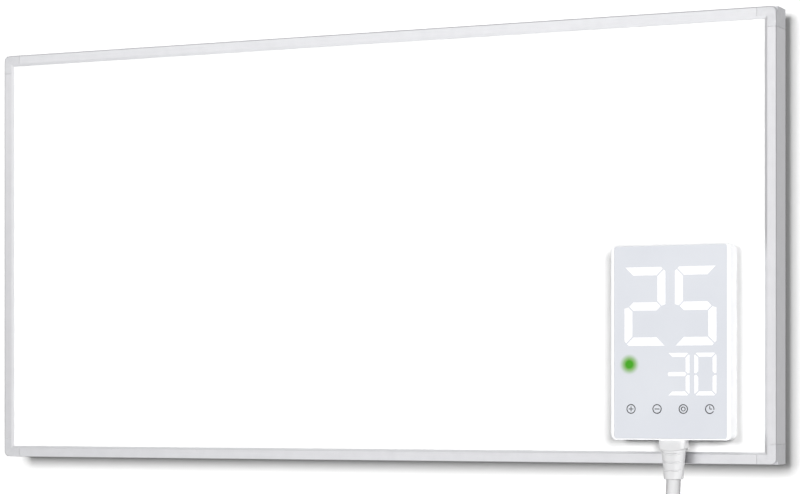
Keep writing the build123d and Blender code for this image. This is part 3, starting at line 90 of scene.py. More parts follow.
class Graph:
    """Node graph of a material or of the world, with what its patterns are made of."""

    def __init__(self, tree: bpy.types.NodeTree) -> None:
        """Start with an empty graph.

        Args:
            tree: Where its nodes go.
        """
        self.nodes = tree.nodes
        self.links = tree.links
        self.nodes.clear()

    def feed(self, value: Value, target: Socket) -> None:
        """Link a pattern to a node's socket, or set a constant there.

        Args:
            value: A pattern's socket, a number, or the values of a vector or a colour.
            target: The node's socket.
        """
        if isinstance(value, Socket):
            self.links.new(value, target)
        elif isinstance(value, tuple) and len(target.default_value) > len(value):
            target.default_value = (*value, 1.0)
        else:
            target.default_value = value

    def node(self, kind: str, inputs: dict[str | int, Value] | None = None,
             **settings: str) -> bpy.types.Node:
        """Add a node.

        Args:
            kind: Its type.
            inputs: What its sockets get, by their names or numbers.
            **settings: Its options.

        Returns:
            The node.
        """
        node = self.nodes.new(kind)
        for name, option in settings.items():
            setattr(node, name, option)
        for name, value in (inputs or {}).items():
            self.feed(value, node.inputs[name])
        return node

    def place(self, stretch: Triple = (1.0, 1.0, 1.0)) -> Socket:
        """Positions on the piece in metres, times a factor on each axis."""
        spot = self.node("ShaderNodeTexCoord").outputs["Object"]
        return self.node("ShaderNodeMapping", {"Vector": spot, "Scale": stretch}).outputs["Vector"]

    def noise(self, size: float, detail: float = 4.0, stretch: Triple = (1.0, 1.0, 1.0)) -> Socket:
        """Cloudy pattern from 0 to 1, with clouds of that size in millimetres and finer layers."""
        inputs = {"Scale": 1.0 / (size * MM), "Detail": detail, "Vector": self.place(stretch)}
        return self.node("ShaderNodeTexNoise", inputs).outputs["Fac"]

    def cells(self, size: float, output: str = "Distance", feature: str = "F1") -> Socket:
        """Cells of that size in millimetres, such as zinc spangle or the dimples of a coating."""
        inputs = {"Scale": 1.0 / (size * MM), "Vector": self.place()}
        return self.node("ShaderNodeTexVoronoi", inputs, feature=feature).outputs[output]

    def wave(self, size: float, axis: str) -> Socket:
        """Bands square to an axis, with that spacing in millimetres."""
        inputs = {"Scale": WAVE_SCALE / (size * MM), "Vector": self.place()}
        return self.node("ShaderNodeTexWave", inputs, bands_direction=axis).outputs["Fac"]

    def span(self, value: Value, low: float, high: float, start: float = 0.0,
             end: float = 1.0) -> Socket:
        """Map a pattern from start..end to low..high, clamped."""
        ends = {"From Min": start, "From Max": end, "To Min": low, "To Max": high}
        return self.node("ShaderNodeMapRange", {"Value": value, **ends}).outputs["Result"]

    def contrast(self, value: Socket) -> Socket:
        """Stretch the middle of a pattern over 0 to 1."""
        return self.span(value, 0.0, 1.0, *TONE_BAND)

    def maths(self, operation: str, first: Value, second: Value) -> Socket:
        """Combine two patterns or numbers with one operation."""
        return self.node("ShaderNodeMath", {0: first, 1: second}, operation=operation).outputs[0]

    def blend(self, first: Socket, share: float, second: Socket) -> Socket:
        """Add two patterns, the first by its share and the second by the rest."""
        parts = [self.maths("MULTIPLY", first, share), self.maths("MULTIPLY", second, 1.0 - share)]
        return self.maths("ADD", *parts)

    def mix(self, factor: Value, first: Value, second: Value) -> Socket:
        """Mix two colours by a pattern.

        Args:
            factor: 0 gives the first colour and 1 the second.
            first: A colour or a pattern's socket.
            second: A colour or a pattern's socket.

        Returns:
            The socket with the mixed colour.
        """
        node = self.node("ShaderNodeMix", {"Factor": factor}, data_type="RGBA")
        ends = [socket for socket in node.inputs if socket.type == "RGBA"]
        for target, value in zip(ends, (first, second)):
            self.feed(value, target)
        return [socket for socket in node.outputs if socket.type == "RGBA"][0]

    def distance(self, centre: Triple) -> Socket:
        """Distance in the panel's plane from a point of it, in metres.

        Args:
            centre: The point.

        Returns:
            The socket with the distance.
        """
        spot = self.node("ShaderNodeSeparateXYZ", {0: self.place()})
        across = self.maths("POWER", self.maths("SUBTRACT", spot.outputs["X"], centre[0]), 2.0)
        up = self.maths("POWER", self.maths("SUBTRACT", spot.outputs["Z"], centre[2]), 2.0)
        return self.maths("SQRT", self.maths("ADD", across, up), 0.0)

    def facing(self, side: Triple) -> Socket:
        """Cosine of the angle between a direction and where the surroundings are looked at."""
        inputs = {0: self.node("ShaderNodeTexCoord").outputs["Generated"], 1: side}
        return self.node("ShaderNodeVectorMath", inputs, operation="DOT_PRODUCT").outputs["Value"]


class Shading(Graph):
    """Node graph of one material, with its shader."""

    def __init__(self, name: str) -> None:
        """Start a material with a plain shader.

        Args:
            name: Name of the material.
        """
        self.material = bpy.data.materials.new(name)
        self.material.use_nodes = True
        super().__init__(self.material.node_tree)
        self.shader = self.node("ShaderNodeBsdfPrincipled")
        surface = {"Surface": self.shader.outputs["BSDF"]}
        self.output = self.node("ShaderNodeOutputMaterial", surface)

    def put(self, socket: str, value: Value) -> None:
        """Give one of the shader's sockets a constant or a pattern."""
        self.feed(value, self.shader.inputs[socket])

    def bump(self, height: Socket, depth: float) -> None:
        """Raise a pattern on the surface, where 1 stands for that depth in millimetres."""
        inputs = {"Strength": 1.0, "Distance": depth * MM, "Height": height}
        self.put("Normal", self.node("ShaderNodeBump", inputs).outputs["Normal"])


@dataclass(frozen=True)
class Finish:
    """A moulded or coated surface with fine mottling.

    Sizes that a pattern uses beside the grain are counted in grains.

    Attributes:
        name: Name of the material.
        slot: Its material slot; not used.
        colour: Colour at the low end of the pattern.
        other: Colour at its high end.
        rough: Roughness at both ends.
        metallic: 1 for bare metal.
        grain: Size of the pattern in millimetres.
        depth: Depth of its relief in millimetres.
        coat: Strength of a clear coat.
    """

    name: str
    slot: str
    colour: Colour
    other: Colour
    rough: Pair = (0.35, 0.5)
    metallic: float = 0.0
    grain: float = 0.6
    depth: float = 0.01
    coat: float = 0.0

    def pattern(self, shading: Shading) -> Sockets:
        """The pattern of tones, in patches of thirty grains, and the pattern of heights."""
        return shading.noise(self.grain * 30, 5.0), shading.noise(self.grain, 3.0)

    def extras(self, shading: Shading) -> None:
        """What a finish adds to the shader beyond tone, roughness and relief."""

    def make(self) -> bpy.types.Material:
        """Build the material.

        Returns:
            The new material.
        """
        shading = Shading(self.name)
        tone, height = self.pattern(shading)
        shading.put("Base Color", shading.mix(shading.contrast(tone), self.colour, self.other))
        shading.put("Roughness", shading.span(height, *self.rough, *ROUGH_BAND))
        shading.put("Metallic", self.metallic)
        if self.coat:
            shading.put("Coat Weight", self.coat)
            shading.put("Coat Roughness", COAT_ROUGHNESS)
        shading.bump(height, self.depth)
        self.extras(shading)
        return shading.material


@dataclass(frozen=True)
class Brushed(Finish):
    """Metal drawn or brushed in one direction.

    Attributes:
        along: That direction.
    """

    along: Along = Along.X

    def pattern(self, shading: Shading) -> Sockets:
        """Long fine lines over soft broad bands.

        Args:
            shading: The material's node graph.

        Returns:
            The tones and the heights.
        """
        fine = shading.noise(self.grain, 4.0, self.along.value)
        broad = shading.noise(self.grain * 60, 2.0)
        lines = shading.noise(self.grain * 5, 3.0, self.along.value)
        return shading.blend(lines, 0.5, broad), fine


@dataclass(frozen=True)
class Galvanised(Finish):
    """Zinc-coated sheet with its crystal spangle."""

    def pattern(self, shading: Shading) -> Sockets:
        """One tone for each crystal, over fine rolling lines.

        Args:
            shading: The material's node graph.

        Returns:
            The tones and the heights.
        """
        crystal = shading.node("ShaderNodeSeparateColor", {0: shading.cells(self.grain, "Color")})
        rolling = shading.noise(0.25, 3.0, Along.X.value)
        frost = shading.noise(self.grain * 0.3, 4.0)
        tone = shading.blend(crystal.outputs["Red"], 0.7, frost)
        return tone, shading.blend(crystal.outputs["Green"], 0.6, rolling)


@dataclass(frozen=True)
class Coated(Finish):
    """Powder coating with its faint dimples."""

    def pattern(self, shading: Shading) -> Sockets:
        """Soft dimples over slow waves.

        Args:
            shading: The material's node graph.

        Returns:
            The tones and the heights.
        """
        dimples = shading.cells(self.grain, "Distance", "SMOOTH_F1")
        height = shading.blend(dimples, 0.6, shading.noise(self.grain * 12, 2.0))
        return shading.noise(90.0, 3.0), height


@dataclass(frozen=True)
class Woven(Finish):
    """Plain weave of tape or fabric."""

    def pattern(self, shading: Shading) -> Sockets:
        """Threads both ways."""
        threads = [shading.wave(self.grain, axis) for axis in ("DIAGONAL", "Z")]
        return shading.noise(self.grain * 8, 4.0), shading.maths("MULTIPLY", *threads)


@dataclass(frozen=True)
class Fibrous(Finish):
    """Pressed mineral fibre."""

    def pattern(self, shading: Shading) -> Sockets:
        """Fibres that lie flat in the board."""
        fibres = shading.noise(self.grain, 6.0, (0.25, 1.0, 1.0))
        return shading.noise(self.grain * 5, 5.0, (1.0, 3.0, 1.0)), fibres


@dataclass(frozen=True)
class Wound(Finish):
    """Enamelled wire.

    Attributes:
        across: The axis that its turns lie square to.
    """

    across: str = "X"

    def pattern(self, shading: Shading) -> Sockets:
        """One band for each turn."""
        return shading.noise(self.grain * 6, 3.0), shading.wave(self.grain, self.across)


@dataclass(frozen=True)
class Crumpled(Finish):
    """Thin foil with shallow creases."""

    def pattern(self, shading: Shading) -> Sockets:
        """Facets of foil that was smoothed by hand."""
        return shading.noise(self.grain * 3, 2.0), shading.cells(self.grain, "Distance", "F1")


@dataclass(frozen=True)
class Circuit(Finish):
    """Green board with copper tracks under its lacquer.

    Attributes:
        tile: Width and height of what the tracks go round, in grains.
        track: Width of a track, in grains.
    """

    tile: Pair = (4, 1.5)
    track: float = 0.2

    def pattern(self, shading: Shading) -> Sockets:
        """Square-cornered tracks.

        Args:
            shading: The material's node graph.

        Returns:
            The tones and the heights.
        """
        upright = {"Vector": shading.place(), "Rotation": (math.pi / 2, 0.0, 0.0)}
        node = shading.node("ShaderNodeTexBrick", {
            "Scale": 1.0,
            "Brick Width": self.grain * self.tile[0] * MM,
            "Row Height": self.grain * self.tile[1] * MM,
            "Mortar Size": self.grain * self.track * MM,
            "Vector": shading.node("ShaderNodeMapping", upright).outputs["Vector"],
        })
        return node.outputs["Fac"], node.outputs["Fac"]


@dataclass(frozen=True)
class Striped(Finish):
    """Printed heating element: carbon bands between the two busbars."""

    def pattern(self, shading: Shading) -> Sockets:
        """Bands across the panel."""
        return shading.wave(self.grain, "Z"), shading.noise(1.5, 4.0)


@dataclass(frozen=True)
class Lit(Finish):
    """Window of the display with the light behind it.

    Attributes:
        glow: Colour of the light.
        power: Its strength.
        centre: Middle of a round lamp, or none for bars.
        radius: Radius of that lamp.
        fade: Shares of the radius between which its light takes the rim's colour.
        rim: Colour of its light near the rim.
        gloss: How much the window mirrors.
        dimmed: Strength of the light where it is weakest.
    """

    glow: Colour = (1.0, 1.0, 1.0)
    power: float = 1.0
    centre: Triple | None = None
    radius: float = 0.0
    fade: Pair = (0.7, 1.05)
    rim: Colour = (1.0, 1.0, 1.0)
    gloss: float = 0.5
    dimmed: float = 0.93

    def extras(self, shading: Shading) -> None:
        """Light that is a little uneven, as behind a diffuser.

        Args:
            shading: The material's node graph.
        """
        glow = tuple(channel * self.dimmed for channel in self.glow)
        uneven = shading.contrast(shading.noise(9.0, 2.0))
        light = shading.mix(uneven, glow, self.glow)
        if self.centre:
            fade = [self.radius * share for share in self.fade]
            outwards = shading.span(shading.distance(self.centre), 0.0, 1.0, *fade)
            light = shading.mix(outwards, light, self.rim)
        shading.put("Specular IOR Level", self.gloss)
        shading.put("Emission Color", light)
        shading.put("Emission Strength", self.power)


@dataclass(frozen=True)
class GlossPlate(Finish):
    """Tinted clear plate with the status light's halo painted into its colour and glow.

    Attributes:
        lamp: Middle of the status light.
        halo: Colour of the halo that is painted on the plate round the status light.
        reach: Radius where the halo starts to fade and where it ends, in metres.
        glow: Strength of the halo's painted glow.
    """

    lamp: Triple = (0.0, 0.0, 0.0)
    halo: Colour = (0.3, 0.6, 0.25)
    reach: Pair = (0.0, 0.0)
    glow: float = 0.1

    def extras(self, shading: Shading) -> None:
        """The status light's halo, painted into the plate's colour and glow.

        Args:
            shading: The material's node graph.
        """
        # painted glow: the status light's halo is painted onto the plate as a green tint and
        # emission that fade with distance from the lamp
        soft = shading.span(shading.distance(self.lamp), 1.0, 0.0, *self.reach)
        soft.node.interpolation_type = "SMOOTHSTEP"
        tone = shading.contrast(shading.noise(38.0, 3.0))
        plate = shading.mix(tone, self.colour, self.other)
        shading.put("Base Color", shading.mix(soft, plate, self.halo))
        shading.put("Emission Color", shading.mix(soft, (0.0, 0.0, 0.0), self.halo))
        shading.put("Emission Strength", self.glow)


@functools.cache
def material_of(finish: Finish) -> bpy.types.Material:
    """The material of a finish, made once."""
    return finish.make()


STATUS_CENTRE: Triple = (0.2045, -0.0516, -0.1591)

FRAME_X = Brushed("frame_drawn_along_x", "frame", (0.76, 0.762, 0.785), (0.81, 0.812, 0.835),
                  (0.27, 0.40), 1.0, 0.12, 0.004, along=Along.X)
FRAME_Z = Brushed("frame_drawn_along_z", "frame", (0.75, 0.748, 0.77), (0.80, 0.798, 0.82),
                  (0.27, 0.40), 1.0, 0.12, 0.004, along=Along.Z)
CAP_PAINT = Finish("silver_paint", "corner_cap", (0.72, 0.722, 0.745), (0.785, 0.787, 0.81),
                   (0.32, 0.46), 0.85, 0.15, 0.004)
PLATE_COAT = Coated("white_powder_coat", "plate_coating", (0.955, 0.955, 0.955),
                    (0.975, 0.975, 0.975), (0.42, 0.55), 0.0, 0.7, 0.006)
CASE_WHITE = Finish("white_case_plastic", "case_plastic", (0.83, 0.835, 0.85),
                    (0.86, 0.865, 0.875), (0.30, 0.42), 0.0, 0.35, 0.004)
BASE_WHITE = Finish("white_base_plastic", "base_plastic", (0.80, 0.80, 0.80), (0.85, 0.85, 0.85),
                    (0.5, 0.65), 0.0, 0.5, 0.01)
# face plate with a painted halo of the status light round the lamp
FACE_GLOSS = GlossPlate("face_plate_gloss", "face_gloss", (0.685, 0.705, 0.755),
                        (0.715, 0.735, 0.78), (0.10, 0.16), 0.0, 3.0, 0.002, coat=0.25,
                        lamp=STATUS_CENTRE, halo=(0.20, 0.41, 0.115), reach=(0.0032, 0.0075))
DIGIT_LIGHT = Lit("digit_light", "lit_window", (0.30, 0.30, 0.31), (0.34, 0.34, 0.35), (0.2, 0.3),
                  0.0, 2.0, 0.002, glow=(1.0, 1.0, 1.0), power=0.72)
STATUS_LIGHT = Lit("status_light", "status_light", (0.02, 0.10, 0.008), (0.03, 0.13, 0.012),
                   (0.15, 0.25), 0.0, 2.0, 0.002, glow=(0.042, 0.29, 0.008), centre=STATUS_CENTRE,
                   radius=0.0031, rim=(0.157, 0.316, 0.092), gloss=0.15)
MARK_INK = Finish("grey_mark_ink", "print_ink", (0.028, 0.030, 0.034), (0.045, 0.047, 0.052),
                  (0.4, 0.55), 0.0, 0.3, 0.003)
SHEATH = Finish("white_cord_sheath", "cord_sheath", (0.69, 0.69, 0.70), (0.73, 0.73, 0.735),
                (0.32, 0.46), 0.0, 0.5, 0.012)
BOOT = Finish("white_boot_plastic", "boot_rubber", (0.67, 0.67, 0.68), (0.72, 0.72, 0.725),
              (0.34, 0.48), 0.0, 0.45, 0.01)
PLUG_WHITE = Finish("white_plug_plastic", "plug_plastic", (0.72, 0.72, 0.73), (0.77, 0.77, 0.775),
                    (0.36, 0.5), 0.0, 0.5, 0.014)
PIN_METAL = Brushed("nickelled_pins", "pin_nickel", (0.66, 0.64, 0.60), (0.76, 0.74, 0.70),
                    (0.16, 0.26), 1.0, 0.1, 0.002, along=Along.Z)
STRAP = Woven("tie_weave", "tie_strap", (0.62, 0.62, 0.63), (0.74, 0.74, 0.75), (0.8, 0.95), 0.0,
              0.55, 0.12)
RAIL_ZINC = Brushed("zinc_plated_rail", "zinc_steel", (0.58, 0.59, 0.60), (0.70, 0.71, 0.71),
                    (0.28, 0.42), 1.0, 0.2, 0.006, along=Along.X)
BACK_ZINC = Galvanised("spangled_zinc_sheet", "zinc_sheet", (0.60, 0.61, 0.62), (0.67, 0.68, 0.69),
                       (0.33, 0.44), 1.0, 5.5, 0.006)
SCREW_METAL = Brushed("zinc_plated_screws", "screws", (0.60, 0.60, 0.60), (0.72, 0.72, 0.71),
                      (0.2, 0.34), 1.0, 0.08, 0.003, along=Along.Y)
PAD_BLACK = Finish("black_pad_rubber", "pad_rubber", (0.018, 0.018, 0.019), (0.035, 0.035, 0.036),
                   (0.6, 0.8), 0.0, 0.4, 0.03)
COPPER = Brushed("bare_copper", "copper", (0.72, 0.36, 0.22), (0.86, 0.49, 0.33), (0.22, 0.36),
                 1.0, 0.15, 0.003, along=Along.Z)
COIL_WIRE = Wound("coil_winding", "copper", (0.50, 0.19, 0.08), (0.70, 0.32, 0.16), (0.2, 0.35),
                  0.9, 0.35, 0.08)
FOIL = Crumpled("bright_foil", "foil", (0.80, 0.80, 0.81), (0.90, 0.90, 0.90), (0.12, 0.3), 1.0,
                14.0, 0.15)
MINERAL = Fibrous("mineral_board", "mineral_wool", (0.42, 0.37, 0.22), (0.60, 0.55, 0.38),
                  (0.85, 0.98), 0.0, 0.8, 0.3)
ELEMENT = Striped("printed_element", "element", (0.015, 0.015, 0.018), (0.05, 0.05, 0.055),
                  (0.5, 0.7), 0.0, 12.0, 0.01)
CUTOUT = Finish("cutout_ceramic", "cutout", (0.72, 0.68, 0.58), (0.82, 0.79, 0.71), (0.4, 0.55),
                0.0, 0.6, 0.02)
SILICONE = Finish("lead_silicone", "silicone", (0.52, 0.46, 0.38), (0.62, 0.56, 0.47), (0.5, 0.7),
                  0.0, 0.5, 0.02)
BOARD = Circuit("green_board", "board", (0.012, 0.11, 0.045), (0.03, 0.20, 0.08), (0.22, 0.32),
                0.0, 1.6, 0.03)
BLACK_CASE = Finish("black_component_case", "black_plastic", (0.02, 0.02, 0.022),
                    (0.035, 0.035, 0.038), (0.4, 0.6), 0.0, 0.3, 0.01)
TERMINAL = Finish("green_terminal_plastic", "terminal_plastic", (0.03, 0.16, 0.06),
                  (0.05, 0.22, 0.085), (0.4, 0.55), 0.0, 0.5, 0.01)
BRASS = Brushed("contact_brass", "contact_brass", (0.62, 0.45, 0.17), (0.78, 0.60, 0.27),
                (0.2, 0.35), 1.0, 0.1, 0.003, along=Along.Y)
FILM = Finish("clear_touch_film", "clear_film", (0.70, 0.73, 0.76), (0.78, 0.80, 0.83), (0.1, 0.2),
              0.0, 1.0, 0.003)
FUSE = Finish("fuse_glass", "fuse_glass", (0.62, 0.66, 0.66), (0.75, 0.78, 0.78), (0.05, 0.12),
              0.0, 0.8, 0.005)


def dress(node: str, finish: Finish) -> Thing:
    """Give a part of the frame its finish.

    Args:
        node: Name of the part.
        finish: The finish it gets.

    Returns:
        The part's object.
    """
    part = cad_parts[node]
    part.data.materials.clear()
    part.data.materials.append(material_of(finish))
    LOG.info("%s: %s", node, finish.name)
    return part


def add_object(name: str, data: bpy.types.ID) -> Thing:
    """Put an object in the scene.

    Args:
        name: Its name.
        data: The mesh, curve, light or camera that it shows.

    Returns:
        The object.
    """
    thing = bpy.data.objects.new(name, data)
    bpy.context.scene.collection.objects.link(thing)
    return thing


def add_piece(name: str, mesh: Mesh, finish: Finish, body: Body, replaces: tuple[str, ...] = (),
              smooth_deg: float = 35.0) -> Thing:
    """Turn a mesh in the row frame into a dressed piece that rides on a body.

    Args:
        name: Name of the piece.
        mesh: The mesh, which is freed.
        finish: Its finish.
        body: The body it rides on.
        replaces: The parts it stands for.
        smooth_deg: Edges flatter than this are shaded smooth.

    Returns:
        The new object.
    """
    data = bpy.data.meshes.new(name)
    bmesh.ops.recalc_face_normals(mesh, faces=mesh.faces)
    for edge in mesh.edges:
        flat = edge.calc_face_angle(0.0) < math.radians(smooth_deg)
        edge.smooth = len(edge.link_faces) != 2 or flat
    for face in mesh.faces:
        face.smooth = True
    mesh.to_mesh(data)
    mesh.free()
    piece = add_object(name, data)
    data.materials.append(material_of(finish))
    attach(piece, body.value)
    if replaces:
        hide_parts(*replaces)
    LOG.info("%s: %d faces, %s", name, len(data.polygons), finish.name)
    return piece


# ------------------------------------------------------------------ shapes
CLOSE = 1e-6    # points nearer than this are one point


def smooth(share: float) -> float:
    """Ease a share from 0 to 1, clamped."""
    share = min(max(share, 0.0), 1.0)
    return share * share * (3.0 - 2.0 * share)


def turned(turn: float, out: float, ahead: float) -> Pair:
    """A place given by its distances in a direction and square to it, clockwise."""
    sine, cosine = math.sin(turn), math.cos(turn)
    return cosine * out + sine * ahead, sine * out - cosine * ahead


def rim_of(mesh: Mesh, row: Ring) -> list[bmesh.types.BMEdge]:
    """Edges round a closed row of points."""
    return [mesh.edges.get((row[i - 1], vert)) for i, vert in enumerate(row)]


def add_ring(mesh: Mesh, points: list[Triple]) -> Ring:
    """Put one row of points into a mesh."""
    return [mesh.verts.new(point) for point in points]


def add_skin(mesh: Mesh, rings: list[Ring]) -> None:
    """Join each closed row of points to the next.

    Args:
        mesh: The mesh.
        rings: The rows, all with the same number of points.
    """
    for lower, upper in zip(rings, rings[1:]):
        for i, vert in enumerate(lower):
            after = (i + 1) % len(lower)
            mesh.faces.new((vert, lower[after], upper[after], upper[i]))


def close_ends(mesh: Mesh, rings: list[Ring]) -> None:
    """Put a face on the first row of points and on the last."""
    mesh.faces.new(rings[0])
    mesh.faces.new(list(reversed(rings[-1])))


def rounded_row(width: float, depth: float, radius: float, share: int = 8) -> list[Pair]:
    """Points round a rectangle with rounded corners, the same number on every side and corner.

    Args:
        width: Its size along the first axis.
        depth: Its size along the second axis.
        radius: Radius of its corners.
        share: Points on each side and on each corner.

    Returns:
        The points, from the right-hand side on, anticlockwise.
    """
    row = []
    reach = (width / 2.0 - radius, depth / 2.0 - radius)
    for quarter, (sx, sy) in enumerate(((1, 1), (-1, 1), (-1, -1), (1, -1))):
        turns = [math.radians(90.0 * quarter + 90.0 * i / share) for i in range(share + 1)]
        row += [(sx * reach[0] + radius * math.cos(turn), sy * reach[1] + radius * math.sin(turn))
                for turn in turns]
        start = row.pop()
        run = (-2.0 * reach[0] * sx, 0.0) if quarter % 2 == 0 else (0.0, -2.0 * reach[1] * sy)
        row += [(start[0] + run[0] * i / share, start[1] + run[1] * i / share)
                for i in range(share)]
    return row


def solids_of(node: str) -> list[tuple[Vector, Vector]]:
    """Boxes round the separate solids of a part.

    Args:
        node: Name of the part.

    Returns:
        The lowest and highest corner of each solid, in order of place.
    """
    mesh = bmesh.new()
    mesh.from_mesh(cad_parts[node].data)
    bmesh.ops.remove_doubles(mesh, verts=mesh.verts, dist=CLOSE)
    left = set(mesh.verts)
    boxes = []
    while left:
        reached = [left.pop()]
        for vert in reached:
            near = {edge.other_vert(vert) for edge in vert.link_edges} & left
            left -= near
            reached.extend(near)
        places = [vert.co for vert in reached]
        boxes.append((Vector([min(place[i] for place in places) for i in range(3)]),
                      Vector([max(place[i] for place in places) for i in range(3)])))
    mesh.free()
    return sorted(boxes, key=lambda box: tuple(box[0]))


def add_spun(mesh: Mesh, x: float, z: float, profile: Profile, steps: int = 36) -> list[Ring]:
    """Turn a profile round an axis along Y.

    Args:
        mesh: The mesh.
        x: Place of the axis.
        z: Place of the axis.
        profile: Radius and Y of each point.
        steps: Points round the axis.

    Returns:
        The rows of points, one for each point of the profile.
    """
    rings = []
    turns = [2.0 * math.pi * i / steps for i in range(steps)]
    for radius, y in profile:
        row = [(x + radius * math.cos(turn), y, z + radius * math.sin(turn)) for turn in turns]
        rings.append(add_ring(mesh, row))
    add_skin(mesh, rings)
    return rings


def add_turned(name: str, part: str,
               add: Callable[[Mesh, float, float, float, float], None]) -> Thing:
    """Make a piece with one small turned thing for each solid of a part.

    Args:
        name: Name of the piece.
        part: The part that it stands for.
        add: Adds one, from the mesh, the place of its axis in X and Z, and its ends in Y.

    Returns:
        The piece.
    """
    mesh = bmesh.new()
    for low, high in solids_of(part):
        add(mesh, (low.x + high.x) / 2.0, (low.z + high.z) / 2.0, high.y, low.y)
    return add_piece(name, mesh, SCREW_METAL, Body.HEATER, (part,), 40.0)


# ------------------------------------------------------------------ camera and cord
@dataclass
class ViewPoint:
    """The photograph's camera: level, with a shift, as it stood.

    Attributes:
        place: Position.
        forward: Level direction that it looks in.
        lens: Focal length in millimetres.
        shift: Upward shift of the frame, as a share of its width.
        seen: Nearest and farthest distance that it shows.
    """

    place: Triple = (0.8123, -1.6950, -0.1825)
    forward: Triple = (-0.42688, 0.90431, 0.0)
    lens: float = 118.6
    shift: float = 0.1909
    seen: Pair = (0.01, 30.0)

    def build(self) -> Thing:
        """Make the scene's camera.

        Returns:
            The camera.
        """
        data = bpy.data.cameras.new("photo_camera")
        data.lens = self.lens
        data.shift_y = self.shift
        data.clip_start, data.clip_end = self.seen
        camera = add_object("photo_camera", data)
        camera.location = self.place
        camera.rotation_euler = Vector(self.forward).to_track_quat("-Z", "Y").to_euler()
        bpy.context.scene.camera = camera
        return camera


@dataclass
class TieStrap:
    """Woven strap round all the turns of the coil, with its end lapped over its start.

    Attributes:
        at_deg: Where on the coil it sits.
        width: Its width.
        thickness: Its thickness.
        edge_share: Chamfer of its edges, as a share of the thickness.
        clearance: Room between strap and cord.
        lap: Length of the lapped end.
        rise: Length over which the end climbs onto the start.
    """

    at_deg: float = 60.0
    width: float = 0.0120
    thickness: float = 0.0011
    edge_share: float = 0.3
    clearance: float = 0.0003
    lap: float = 0.016
    rise: float = 0.007

    def path(self, across: float, deep: float, radius: float,
             step: float = 0.0006) -> list[Triple]:
        """Places round the loop, once round and on over the lap.

        Args:
            across: Size of the loop along the coil's radius.
            deep: Its size off the wall.
            radius: Radius of its corners.
            step: Distance between the points.

        Returns:
            Place along the radius, place off the wall, and direction outwards of each point.
        """
        runs = [across - 2.0 * radius, deep - 2.0 * radius]
        quarter = math.pi * radius / 2.0
        around = 2.0 * sum(runs) + 4.0 * quarter
        places = []
        for i in range(math.ceil((around + self.lap) / step) + 1):
            along = min(i * step, around + self.lap)
            grow = self.thickness * (0.5 + smooth((along - around + self.rise) / self.rise))
            rest = along % around
            for side in range(4):
                turn = math.pi / 2.0 * (1 - side)
                run, half = runs[side % 2], runs[(side + 1) % 2] / 2.0
                if rest <= run:
                    places.append((*turned(turn, half + radius + grow, rest - run / 2.0), turn))
                    break
                rest -= run
                if rest <= quarter:
                    bend = turn - rest / radius
                    foot, tip = turned(turn, half, run / 2.0), turned(bend, radius + grow, 0.0)
                    places.append((foot[0] + tip[0], foot[1] + tip[1], bend))
                    break
                rest -= quarter
        return places

    def build(self, cord: "MainsCord") -> Thing:
        """Make the strap round the cord's coil.

        Args:
            cord: The cord that it ties.

        Returns:
            The strap.
        """
        turns = math.ceil(cord.end_deg / 360.0)
        passes = [self.at_deg + 360.0 * turn for turn in range(turns)]
        passes = [deg for deg in passes if cord.start_deg < deg < cord.end_deg]
        radii = [cord.radius_at(deg) for deg in passes]
        depths = [cord.depth_at(deg) for deg in passes]
        room = cord.diameter / 2.0 + self.clearance
        lean = math.asin(self.width / 2.0 / min(radii))
        drift = cord.pitch * lean / (2.0 * math.pi)
        low = min(radii) * math.cos(lean) - room - drift
        high = max(radii) + room + drift
        near, far = min(depths) - room, max(depths) + room
        angle = math.radians(self.at_deg)
        outwards = Vector((math.cos(angle), 0.0, math.sin(angle)))
        along = Vector((-math.sin(angle), 0.0, math.cos(angle)))
        middle = Vector((cord.coil_centre[0], -(near + far) / 2.0, cord.coil_centre[1]))
        middle += outwards * (low + high) / 2.0
        radius = cord.diameter / 2.0 - self.thickness
        half, thick = self.width / 2.0, self.thickness / 2.0
        edge = self.thickness * self.edge_share
        corners = [(half, -thick + edge), (half, thick - edge), (half - edge, thick)]
        section = [(-half + edge, -thick), (half - edge, -thick), *corners, (-half + edge, thick),
                   (-half, thick - edge), (-half, -thick + edge)]
        mesh = bmesh.new()
        rings = []
        for across, off, turn in self.path(high - low, far - near, radius):
            centre = middle + outwards * across + Vector((0.0, -off, 0.0))
            normal = outwards * math.cos(turn) + Vector((0.0, -math.sin(turn), 0.0))
            row = [centre + along * side + normal * lift for side, lift in section]
            rings.append(add_ring(mesh, row))
        add_skin(mesh, rings)
        close_ends(mesh, rings)
        return add_piece("woven_tie_strap", mesh, STRAP, Body.HEATER, ("cord_tie",))


